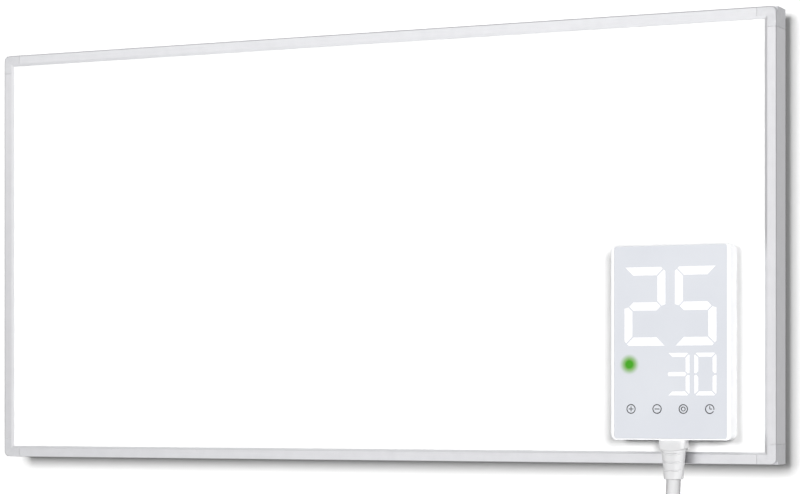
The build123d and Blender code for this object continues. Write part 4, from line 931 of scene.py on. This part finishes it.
@dataclass
class MainsCord:
    """The mains cord: a drop out of the strain relief, a tied coil and a tail to the plug.

    Attributes:
        exit: Where it leaves the strain relief.
        knee: Foot of the drop, where it leans over to the coil.
        diameter: Diameter of the sheath.
        length: Real length of the free cord; not used.
        coil_centre: Middle of the coil, in X and Z.
        outer_radius: Radius of the outer turn's centre line.
        pitch: Distance between neighbouring turns.
        start_deg: Angle where the coil starts.
        end_deg: Angle where it ends, all turns counted.
        middle_deg: Angle where its radius turns from inwards to outwards.
        ease_deg: Angle over which it does so.
        climb_deg: Angle over which it changes layer, and where that starts.
        step_deg: Angle between the spline's points.
        fineness: Steps of the tube's roundness, and steps between two of the spline's points.
        tail_end: Where it enters the plug's boot.
    """

    exit: Triple = (0.2330, -0.0446, -0.2346)
    knee: Triple = (0.2330, -0.0446, -0.2966)
    diameter: float = 0.0095
    length: float = 1.822
    coil_centre: Pair = (0.2330, -0.38711)
    outer_radius: float = 0.0640
    pitch: float = 0.0102
    start_deg: float = 135.0
    end_deg: float = 1980.0
    middle_deg: float = 1035.0
    ease_deg: float = 30.0
    climb_deg: Pair = (945.0, 180.0)
    step_deg: float = 15.0
    fineness: tuple[int, int] = (6, 5)
    tail_end: Triple = (0.16773, -0.0344, -0.42161)

    def radius_at(self, deg: float) -> float:
        """Radius of the coil's centre line at an angle.

        Args:
            deg: The angle, all turns counted.

        Returns:
            The radius in metres.
        """
        rise = math.hypot(deg - self.middle_deg, self.ease_deg)
        start = math.hypot(self.start_deg - self.middle_deg, self.ease_deg)
        return self.outer_radius + self.pitch / 360.0 * (rise - start)

    def depth_at(self, deg: float) -> float:
        """Distance of the centre line off the wall: the second layer lies behind the first."""
        return -self.exit[1] - self.pitch * smooth((deg - self.climb_deg[0]) / self.climb_deg[1])

    def coil_point(self, deg: float, grow: float = 1.0) -> Vector:
        """A point of the coil at an angle, with its radius times grow."""
        radius, angle = self.radius_at(deg) * grow, math.radians(deg)
        return Vector((self.coil_centre[0] + radius * math.cos(angle), -self.depth_at(deg),
                       self.coil_centre[1] + radius * math.sin(angle)))

    def control_points(self) -> list[Vector]:
        """The spline's points: the drop, the coil's turns by their tangents, and the tail.

        Returns:
            The points, from the strain relief to the plug.
        """
        points = [Vector(self.exit), Vector(self.knee)]
        half = self.step_deg / 2.0
        grow = 1.0 / math.cos(math.radians(half))
        turns = round((self.end_deg - self.start_deg) / self.step_deg)
        angles = [self.start_deg + half + self.step_deg * i for i in range(turns)]
        points += [self.coil_point(deg, grow) for deg in angles]
        points.append(Vector(self.tail_end))
        return points

    def build_cord(self) -> Thing:
        """Make the cord as one smooth curve.

        Returns:
            The cord.
        """
        curve = bpy.data.curves.new("mains_cord", "CURVE")
        curve.dimensions = "3D"
        curve.bevel_depth = self.diameter / 2.0
        curve.bevel_resolution, curve.resolution_u = self.fineness
        curve.use_fill_caps = True
        points = self.control_points()
        spline = curve.splines.new("NURBS")
        spline.points.add(len(points) - 1)
        for point, place in zip(spline.points, points):
            point.co = (*place, 1.0)
        spline.order_u = 3
        spline.use_endpoint_u = True
        curve.materials.append(material_of(SHEATH))
        cord = add_object("mains_cord", curve)
        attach(cord, Body.HEATER.value)
        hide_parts("mains_cord_drop", "mains_cord_coil", "mains_cord_tail")
        LOG.info("mains_cord: %d points", len(points))
        return cord

    def build(self) -> None:
        cord = self.build_cord()
        tie = TieStrap().build(self)
        pieces = [tie, dress("plug_boot", BOOT), dress("plug_body", PLUG_WHITE),
                  dress("plug_pins", PIN_METAL), dress("plug_earth_clips", PIN_METAL)]


# ------------------------------------------------------------------ sub-assemblies
@dataclass
class CrossScrews:
    """The back cover's screws: pan heads with a cross recess.

    Attributes:
        head: Radius and height of a head.
        shank: Radius of the shank.
        flat: Radius of the flat on top of a head.
        point: Radius of the tip and length of its cone, as shares of the shank's radius.
        dome: Radii and heights up the head, as shares of the head's.
        brow: Radius just under the flat, as a share of the flat's, and the height of that, as a
            share of the head's.
        cross: Half length, half width and depth of the recess.
        taper: Size of the recess's floor, as a share of its mouth.
    """

    head: Pair = (0.0030, 0.0018)
    shank: float = 0.00145
    flat: float = 0.0019
    point: Pair = (0.5, 0.6)
    dome: Profile = ((1.0, 0.0), (1.0, 0.28), (0.95, 0.5), (0.83, 0.8))
    brow: Pair = (1.1, 0.97)
    cross: Triple = (0.0016, 0.00038, 0.0011)
    taper: float = 0.62

    def cross_row(self, x: float, y: float, z: float, share: float) -> list[Triple]:
        """Outline of the recess.

        Args:
            x: Place of the screw.
            y: Where the outline lies.
            z: Place of the screw.
            share: Its size, as a share of the mouth.

        Returns:
            Its twelve corners, in order.
        """
        long, slim = self.cross[0] * share, self.cross[1] * share
        corners = [(long, slim), (slim, slim), (slim, long)]
        row = []
        for turn in range(4):
            for a, b in corners:
                for _ in range(turn):
                    a, b = -b, a
                row.append((x + a, y, z + b))
        return row

    def add_screw(self, mesh: Mesh, x: float, z: float, top: float, tip: float) -> None:
        """Add one screw to the mesh.

        Args:
            mesh: The mesh.
            x: Place of the screw.
            z: Place of the screw.
            top: Y of the head's flat top.
            tip: Y of the tip.
        """
        radius, height = self.head
        seat = top - height
        profile = [(self.shank * self.point[0], tip),
                   (self.shank, tip + self.shank * self.point[1]), (self.shank, seat)]
        profile += [(radius * wide, seat + height * high) for wide, high in self.dome]
        profile += [(self.flat * self.brow[0], seat + height * self.brow[1]), (self.flat, top)]
        rings = add_spun(mesh, x, z, profile)
        mesh.faces.new(rings[0])
        mouth = add_ring(mesh, self.cross_row(x, top, z, 1.0))
        floor = add_ring(mesh, self.cross_row(x, top - self.cross[2], z, self.taper))
        add_skin(mesh, [mouth, floor])
        mesh.faces.new(floor)
        rims = rim_of(mesh, rings[-1]) + rim_of(mesh, mouth)
        bmesh.ops.triangle_fill(mesh, use_beauty=True, edges=rims, normal=(0.0, 1.0, 0.0))

    def build(self) -> Thing:
        """Make the screws where the part has them."""
        return add_turned("cross_recessed_screws", "back_cover_screws", self.add_screw)


@dataclass
class BlindRivets:
    """The hanger rail's rivets: domed heads with the stub of the pulled pin.

    Attributes:
        head: Radius and height of a head.
        hole: Radius and depth of the hollow where the pin broke.
        shank: Radius of the shank.
        tail: Radius and length of the upset tail.
        bulb: Radii and heights up the tail, as shares of the tail's.
        dome: Radii and heights up the head, as shares of the head's.
        well: Radii and depths down the hollow, as shares of the hollow's.
    """

    head: Pair = (0.0034, 0.0011)
    hole: Pair = (0.0010, 0.0007)
    shank: float = 0.0016
    tail: Pair = (0.0024, 0.0030)
    bulb: Profile = ((0.4, 0.0), (0.85, 0.12), (1.0, 0.4), (0.9, 0.9))
    dome: Profile = ((1.0, 0.0), (1.0, 0.15), (0.88, 0.55), (0.66, 0.88))
    well: Profile = ((1.35, 0.0), (1.0, 0.12), (1.0, 1.0), (0.85, 1.0), (0.6, 0.7))

    def add_rivet(self, mesh: Mesh, x: float, z: float, top: float, tip: float) -> None:
        """Add one rivet to the mesh.

        Args:
            mesh: The mesh.
            x: Place of the rivet.
            z: Place of the rivet.
            top: Y of the head's top.
            tip: Y of the tail's end.
        """
        radius, height = self.head
        hole, deep = self.hole
        seat = top - height
        wide, long = self.tail
        profile = [(wide * a, tip + long * b) for a, b in self.bulb]
        profile += [(self.shank, tip + long), (self.shank, seat)]
        profile += [(radius * a, seat + height * b) for a, b in self.dome]
        profile += [(hole * a, top - deep * b) for a, b in self.well]
        close_ends(mesh, add_spun(mesh, x, z, profile))

    def build(self) -> Thing:
        """Make the rivets where the part has them."""
        return add_turned("blind_rivets", "hanger_rivets", self.add_rivet)


@dataclass
class StrainRelief:
    """Ribbed boot that carries the cord out of the foot of the case.

    Attributes:
        centre: Its axis, in X and Y.
        top: Height of the case's foot.
        neck: Width, depth, corner radius and height of its neck inside the case.
        collar: Width, depth, corner radius and height of its collar.
        collar_drop: How far the collar's front hangs down in the middle.
        boot_top: Width and depth of the boot under the collar.
        boot_end: Width and depth of the boot's end.
        boot_length: Length of the boot.
        corner_share: Corner radius of the boot, as a share of its depth.
        grooves: Depths below the case's foot where the grooves meet the boot's sides.
        groove: Half height and depth of a groove.
        run_out: Where a groove ends and over what it runs out, as shares of the half width.
        sag: How far the grooves hang down in the middle of the front.
        ease_share: Share of the boot over which the collar's hang turns into that sag.
        end_share: Share of the boot over which the sag fades at the end.
        end_sag: What is left of the sag there.
        chamfer: Edge of the collar and of the boot's end.
        end_edge: Edge of the boot's end, in chamfers, and how far its rim and its bore lie past
            the boot, in edges.
        bore: Radius of its opening.
        bore_reach: Depth of the opening, in bore radii.
        step: Height between the rows of points.
    """

    centre: Pair = (0.2330, -0.0446)
    top: float = -0.2090
    neck: Four = (0.0145, 0.0100, 0.0040, 0.0050)
    collar: Four = (0.0183, 0.0120, 0.0028, 0.0058)
    collar_drop: float = 0.0017
    boot_top: Pair = (0.0160, 0.0116)
    boot_end: Pair = (0.0127, 0.0112)
    boot_length: float = 0.0256
    corner_share: float = 0.46
    grooves: tuple[float, ...] = (0.0085, 0.0140, 0.0195)
    groove: Pair = (0.0005, 0.0010)
    run_out: Pair = (0.96, 0.2)
    sag: float = 0.0010
    ease_share: float = 0.12
    end_share: float = 0.2
    end_sag: float = 0.3
    chamfer: float = 0.00035
    end_edge: Triple = (1.6, 0.6, 0.4)
    bore: float = 0.0048
    bore_reach: float = 3.0
    step: float = 0.00015

    def row(self, mesh: Mesh, size: Pair, radius: float, below: float,
            drop: float = 0.0, cut: float = 0.0) -> Ring:
        """One row of points round the boot.

        Args:
            mesh: The mesh.
            size: Width and depth.
            radius: Radius of the corners.
            below: Distance below the case's foot.
            drop: How far the row hangs down in the middle.
            cut: How far the row is drawn in, away from the narrow sides.

        Returns:
            The new vertices.
        """
        points = []
        for x, y in rounded_row(size[0], size[1], radius):
            side = min(abs(x) / (size[0] / 2.0), 1.0)
            inwards = cut * min(max((self.run_out[0] - side) / self.run_out[1], 0.0), 1.0)
            shrink = 1.0 - inwards / max(math.hypot(x, y), CLOSE)
            points.append((self.centre[0] + x * shrink, self.centre[1] + y * shrink,
                           self.top - below - drop * max(1.0 - side * side, 0.0)))
        return add_ring(mesh, points)

    def collar_rows(self, mesh: Mesh) -> list[Ring]:
        """Rows of the neck and the collar, from the top down.

        Args:
            mesh: The mesh.

        Returns:
            The rows.
        """
        width, depth, radius, height = self.collar
        neck_width, neck_depth, neck_radius, neck_height = self.neck
        edge = self.chamfer
        inset = (width - 2.0 * edge, depth - 2.0 * edge)
        return [self.row(mesh, (neck_width, neck_depth), neck_radius, -neck_height),
                self.row(mesh, (neck_width, neck_depth), neck_radius, 0.0),
                self.row(mesh, inset, radius - edge, 0.0),
                self.row(mesh, (width, depth), radius, edge),
                self.row(mesh, (width, depth), radius, height - edge, self.collar_drop),
                self.row(mesh, inset, radius - edge, height, self.collar_drop)]

    def boot_rows(self, mesh: Mesh) -> list[Ring]:
        """Rows of the grooved boot, from the collar down to its opening.

        Args:
            mesh: The mesh.

        Returns:
            The rows.
        """
        start = self.collar[3]
        rows = []
        count = round((self.boot_length - start) / self.step)
        for i in range(count + 1):
            share = i / count
            below = start + (self.boot_length - start) * share
            size = tuple(a + (b - a) * share for a, b in zip(self.boot_top, self.boot_end))
            near = min(abs(below - at) for at in self.grooves)
            cut = self.groove[1] * max(1.0 - (near / self.groove[0]) ** 2, 0.0)
            ease = min(share / self.ease_share, 1.0)
            last = min(max((share - 1.0 + self.end_share) / self.end_share, 0.0), 1.0)
            drop = self.collar_drop + (self.sag - self.collar_drop) * ease
            drop -= (1.0 - self.end_sag) * self.sag * last
            rows.append(self.row(mesh, size, size[1] * self.corner_share, below, drop, cut))
        edge = self.chamfer * self.end_edge[0]
        rim, mouth = [self.boot_length + edge * share for share in self.end_edge[1:]]
        inset = tuple(side - 2.0 * edge for side in self.boot_end)
        corner, sag = inset[1] * self.corner_share, self.end_sag * self.sag
        rows.append(self.row(mesh, inset, corner, rim, sag))
        round_bore = (2.0 * self.bore, 2.0 * self.bore)
        for below in (mouth, self.boot_length - self.bore_reach * self.bore):
            rows.append(self.row(mesh, round_bore, self.bore, below))
        return rows

    def build(self) -> Thing:
        """Make the strain relief.

        Returns:
            The piece.
        """
        mesh = bmesh.new()
        rows = self.collar_rows(mesh) + self.boot_rows(mesh)
        add_skin(mesh, rows)
        close_ends(mesh, rows)
        return add_piece("ribbed_strain_relief", mesh, BOOT, Body.HEATER, ("strain_relief",), 30.0)


@dataclass(frozen=True)
class Assembly:
    """Parts that belong together, with their finishes, and what is built to replace some of them.

    Attributes:
        finishes: The parts that each finish goes on.
        makers: The builders of its own pieces.
    """

    finishes: dict[Finish, tuple[str, ...]]
    makers: tuple[CrossScrews | BlindRivets | StrainRelief, ...] = ()

    def build(self) -> None:
        """Dress the parts and build the pieces."""
        for finish, nodes in self.finishes.items():
            for node in nodes:
                dress(node, finish)
        for maker in self.makers:
            maker.build()


PANEL_FRAME = Assembly({
    FRAME_X: ("frame_top", "frame_bottom"),
    FRAME_Z: ("frame_left", "frame_right"),
    CAP_PAINT: ("corner_cap_top_left", "corner_cap_top_right", "corner_cap_bottom_left",
                "corner_cap_bottom_right"),
    RAIL_ZINC: ("corner_keys",),
})
HEATING_PANEL = Assembly({
    PLATE_COAT: ("heating_plate",),
    ELEMENT: ("heating_film",),
    COPPER: ("heater_busbars", "busbar_terminals"),
    FOIL: ("reflector_foil",),
    MINERAL: ("insulation_board",),
    CUTOUT: ("thermal_cutouts",),
    SILICONE: ("element_leads", "lead_grommet"),
    SCREW_METAL: ("earth_stud",),
})
BACK_AND_RAILS = Assembly({
    BACK_ZINC: ("back_cover",),
    RAIL_ZINC: ("hanger_rail", "wall_rail"),
    PAD_BLACK: ("wall_pads",),
}, (CrossScrews(), BlindRivets()))
CONTROL_UNIT = Assembly({
    CASE_WHITE: ("rear_shell", "front_bezel"),
    FACE_GLOSS: ("front_plate",),
    DIGIT_LIGHT: ("display_windows",),
    STATUS_LIGHT: ("status_lens",),
    MARK_INK: ("key_marks",),
    BASE_WHITE: ("controller_base", "display_module", "cord_clamp"),
    SCREW_METAL: ("controller_spacers", "controller_screws", "board_screws", "clamp_screws"),
    BLACK_CASE: ("power_converter", "smoothing_capacitor", "room_sensor", "relay_frame"),
    FILM: ("touch_film",),
    BOARD: ("control_board",),
    FUSE: ("fuse",),
    TERMINAL: ("terminal_block",),
    COIL_WIRE: ("relay_coil",),
    RAIL_ZINC: ("relay_armature",),
    BRASS: ("relay_contacts",),
    SHEATH: ("cord_inner",),
    SILICONE: ("cord_conductors",),
}, (StrainRelief(),))


# ------------------------------------------------------------------ studio
class Reach(Enum):
    """What a light does.

    HEATER lights all but the wall, WALL the wall alone, and CHOSEN the chosen pieces. MIRRORED
    only shows mirrored, and BOTH lights and shows mirrored.
    """

    HEATER = "heater"
    WALL = "wall"
    CHOSEN = "chosen"
    MIRRORED = "mirrored"
    BOTH = "both"


@dataclass(frozen=True)
class SoftBox:
    """A soft light that faces a point.

    Attributes:
        name: Name of the light.
        place: Where it stands.
        target: The point it faces.
        size: Its width and height.
        power: Its power in watts.
        reach: What it lights.
        chosen: The only pieces it lights, if not all that its reach says.
        passed: Pieces that cast no shadow in it.
    """

    name: str
    place: Triple
    target: Triple
    size: Pair
    power: float
    reach: Reach = Reach.HEATER
    chosen: tuple[str, ...] = ()
    passed: tuple[str, ...] = ()

    def linked(self, names: tuple[str, ...], state: str) -> bpy.types.Collection:
        """A collection of pieces for the light to take in or leave out.

        Args:
            names: Names of the pieces.
            state: INCLUDE or EXCLUDE.

        Returns:
            The collection.
        """
        group = bpy.data.collections.new(self.name + "_" + state.lower())
        for name in names:
            group.objects.link(bpy.data.objects[name])
        for entry in group.collection_objects:
            entry.light_linking.link_state = state
        return group

    def build(self) -> Thing:
        """Make the light.

        Returns:
            The light's object.
        """
        data = bpy.data.lights.new(self.name, "AREA")
        data.shape = "RECTANGLE"
        data.size, data.size_y = self.size
        data.energy = self.power
        lamp = add_object(self.name, data)
        lamp.location = self.place
        towards = Vector(self.target) - Vector(self.place)
        lamp.rotation_euler = towards.to_track_quat("-Z", "Y").to_euler()
        lamp.visible_camera = False
        lamp.visible_glossy = self.reach in (Reach.MIRRORED, Reach.BOTH)
        lamp.visible_diffuse = self.reach is not Reach.MIRRORED
        if self.chosen:
            lamp.light_linking.receiver_collection = self.linked(self.chosen, "INCLUDE")
        else:
            state = "INCLUDE" if self.reach is Reach.WALL else "EXCLUDE"
            lamp.light_linking.receiver_collection = self.linked(("wall",), state)
        if self.passed:
            lamp.light_linking.blocker_collection = self.linked(self.passed, "EXCLUDE")
        return lamp


CORD = ("mains_cord",)
RELIEF = ("ribbed_strain_relief",)
CORD_AND_PLUG = CORD + RELIEF + ("cord_inner", "cord_conductors", "woven_tie_strap", "plug_boot",
                                 "plug_body", "plug_pins", "plug_earth_clips")
BACK = ("back_cover", "cross_recessed_screws", "hanger_rail", "blind_rivets", "wall_rail",
        "wall_pads")
BOOT_FOOT = (0.23, -0.045, -0.22)
ORIGIN = (0.0, 0.0, 0.0)
LIGHTS = (
    SoftBox("wall_key", (0.12, -5.0, 0.66), (0.12, 0.0, 0.66), (1.65, 1.40), 680.0, Reach.WALL,
            passed=CORD_AND_PLUG),
    SoftBox("wall_fill", (0.83, -5.0, 0.72), (0.83, 0.0, 0.72), (4.7, 2.8), 300.0, Reach.WALL,
            passed=CORD_AND_PLUG),
    SoftBox("left_key", (-1.15, -9.83, 1.30), (0.1, 0.0, -0.1), (2.5, 2.4), 478.0),
    SoftBox("right_key", (4.88, -8.74, 1.30), (-2.0, 0.0, 0.0), (2.5, 2.4), 622.0),
    SoftBox("left_rim", (-2.2, 0.0, -0.6), BOOT_FOOT, (0.5, 0.8), 17.0, Reach.CHOSEN, RELIEF),
    SoftBox("right_rim", (2.5, -0.3, -0.6), BOOT_FOOT, (0.5, 0.8), 21.0, Reach.CHOSEN, RELIEF),
    SoftBox("cord_rim", (2.5, -0.3, -0.6), BOOT_FOOT, (0.5, 0.8), 6.0, Reach.CHOSEN, CORD),
    SoftBox("case_rim", (2.5, 0.2, -0.1), (0.27, -0.045, -0.15), (0.5, 0.8), 26.0, Reach.CHOSEN,
            ("rear_shell", "front_bezel")),
    SoftBox("case_low", (0.23, -0.5, -2.6), (0.233, -0.045, -0.235), (0.8, 0.5), 52.0,
            Reach.CHOSEN, ("front_bezel",), CORD + RELIEF),
    SoftBox("front_card", (0.3, -4.5, 0.0), ORIGIN, (9.0, 6.0), 106.0, Reach.MIRRORED),
    SoftBox("upper_card", (-1.8, -3.6, 0.95), (0.0, 0.0, 0.05), (3.5, 0.9), 5.0, Reach.MIRRORED),
    SoftBox("back_card", (0.6, 5.0, 0.6), ORIGIN, (7.0, 5.0), 74.0, Reach.BOTH, BACK),
    SoftBox("back_fill", (-0.8, 5.0, 1.2), (0.0, 0.0, -0.2), (3.0, 2.0), 190.0),
    SoftBox("floor_card", (0.0, -2.2, -2.6), ORIGIN, (6.0, 4.0), 34.0, Reach.MIRRORED),
)


@dataclass(frozen=True)
class Studio:
    """Wall, floor, world and lights round the heater.

    Attributes:
        wall_size: Width and height of the wall.
        wall_y: Where the wall's face lies.
        floor_z: Height of the floor.
        floor_x: Ends of the floor at the left and the right.
        floor_y: Ends of the floor in front and behind.
        clouds: Size of the paint's clouds in millimetres, and factor on its colour there.
        matt: Roughness of the paint, and how much it mirrors.
        wall_grey: Colour of the wall.
        floor_grey: Colour of the floor.
        dark_side: Direction where the surroundings are darkest.
        levels: Brightness of the surroundings by the cosine of the angle to that direction.
        ambient: Share of it that lights matt surfaces.
        left_edge: Cosines to the left between which the surroundings turn dark.
        left_level: What is left of their brightness there.
        wall_glow: Light that the wall gives by itself, for the room behind the camera.
    """

    wall_size: Pair = (3.2, 2.4)
    wall_y: float = 0.0008
    floor_z: float = -0.80
    floor_x: Pair = (-4.0, 4.0)
    floor_y: Pair = (-6.0, 4.0)
    clouds: Pair = (300.0, 1.01)
    matt: Pair = (0.9, 0.1)
    wall_grey: float = 0.30
    floor_grey: float = 0.62
    dark_side: Triple = (-0.42688, 0.90431, 0.0)
    levels: Profile = ((-1.0, 0.31), (-0.6, 0.31), (-0.15, 0.41), (0.25, 0.56), (0.62, 0.88),
                       (0.88, 0.12), (1.0, 0.06))
    ambient: float = 0.22
    left_edge: Pair = (0.84, 0.92)
    left_level: float = 0.12
    wall_glow: float = 0.055

    def paint(self, name: str, grey: float) -> Shading:
        """Matt paint with the faintest clouds.

        Args:
            name: Name of the material.
            grey: Its colour.

        Returns:
            The material's graph.
        """
        shading = Shading(name)
        tone = shading.contrast(shading.noise(self.clouds[0], 2.0))
        other = grey * self.clouds[1]
        shading.put("Base Color", shading.mix(tone, (grey,) * 3, (other,) * 3))
        shading.put("Roughness", self.matt[0])
        shading.put("Specular IOR Level", self.matt[1])
        return shading

    def wall_material(self) -> bpy.types.Material:
        """Paint that glows a little, and that is clear from behind.

        Returns:
            The material.
        """
        shading = self.paint("wall_paint", self.wall_grey)
        shading.put("Emission Color", (1.0, 1.0, 1.0))
        shading.put("Emission Strength", self.wall_glow)
        either = shading.node("ShaderNodeMixShader", {
            "Fac": shading.node("ShaderNodeNewGeometry").outputs["Backfacing"],
            1: shading.shader.outputs["BSDF"],
            2: shading.node("ShaderNodeBsdfTransparent").outputs["BSDF"],
        })
        shading.feed(either.outputs["Shader"], shading.output.inputs["Surface"])
        return shading.material

    def plane(self, name: str, corners: list[Triple], material: bpy.types.Material) -> Thing:
        """A flat stage piece that only the camera sees.

        Args:
            name: Name of the piece.
            corners: Its corners, in order round its front.
            material: Its material.

        Returns:
            The object.
        """
        data = bpy.data.meshes.new(name)
        data.from_pydata(corners, [], [tuple(range(len(corners)))])
        data.materials.append(material)
        plane = add_object(name, data)
        for ray in ("visible_diffuse", "visible_glossy", "visible_transmission", "visible_shadow"):
            setattr(plane, ray, False)
        return plane

    def build_world(self) -> None:
        """Surroundings that are dark behind the heater and far left, and bright at its sides."""
        world = bpy.data.worlds.new("studio")
        world.use_nodes = True
        graph = Graph(world.node_tree)
        place = graph.span(graph.facing(self.dark_side), 0.0, 1.0, -1.0, 1.0)
        ramp = graph.node("ShaderNodeValToRGB", {"Fac": place})
        stops = ramp.color_ramp.elements
        for i, (cosine, level) in enumerate(self.levels):
            stop = stops[i] if i < 2 else stops.new(0.999)
            stop.position = (cosine + 1.0) / 2.0
            stop.color = (level, level, level, 1.0)
        path = graph.node("ShaderNodeLightPath").outputs["Is Diffuse Ray"]
        left = graph.span(graph.facing((-1.0, 0.0, 0.0)), 1.0, self.left_level, *self.left_edge)
        strength = graph.maths("MULTIPLY", graph.span(path, 1.0, self.ambient), left)
        inputs = {"Color": ramp.outputs["Color"], "Strength": strength}
        sky = graph.node("ShaderNodeBackground", inputs).outputs["Background"]
        graph.node("ShaderNodeOutputWorld", {"Surface": sky})
        bpy.context.scene.world = world

    def build(self) -> None:
        """Make the whole studio."""
        bpy.context.scene.view_settings.view_transform = "Standard"
        bpy.context.scene.view_settings.look = "None"
        self.build_world()
        half, low, y = self.wall_size[0] / 2.0, self.floor_z, self.wall_y
        high = low + self.wall_size[1]
        (left, right), (front, back) = self.floor_x, self.floor_y
        self.plane("wall", [(-half, y, low), (half, y, low), (half, y, high), (-half, y, high)],
                   self.wall_material())
        self.plane("floor", [(left, front, low), (right, front, low), (right, back, low),
                             (left, back, low)],
                   self.paint("floor_paint", self.floor_grey).material)
        for light in LIGHTS:
            light.build()


def main() -> None:
    """Build the scene piece by piece."""
    logging.basicConfig(level=logging.INFO, format="%(name)s %(message)s")
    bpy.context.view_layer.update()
    ViewPoint().build()
    MainsCord().build()
    for assembly in (PANEL_FRAME, HEATING_PANEL, BACK_AND_RAILS, CONTROL_UNIT):
        assembly.build()
    Studio().build()


if __name__ == "__main__":
    main()
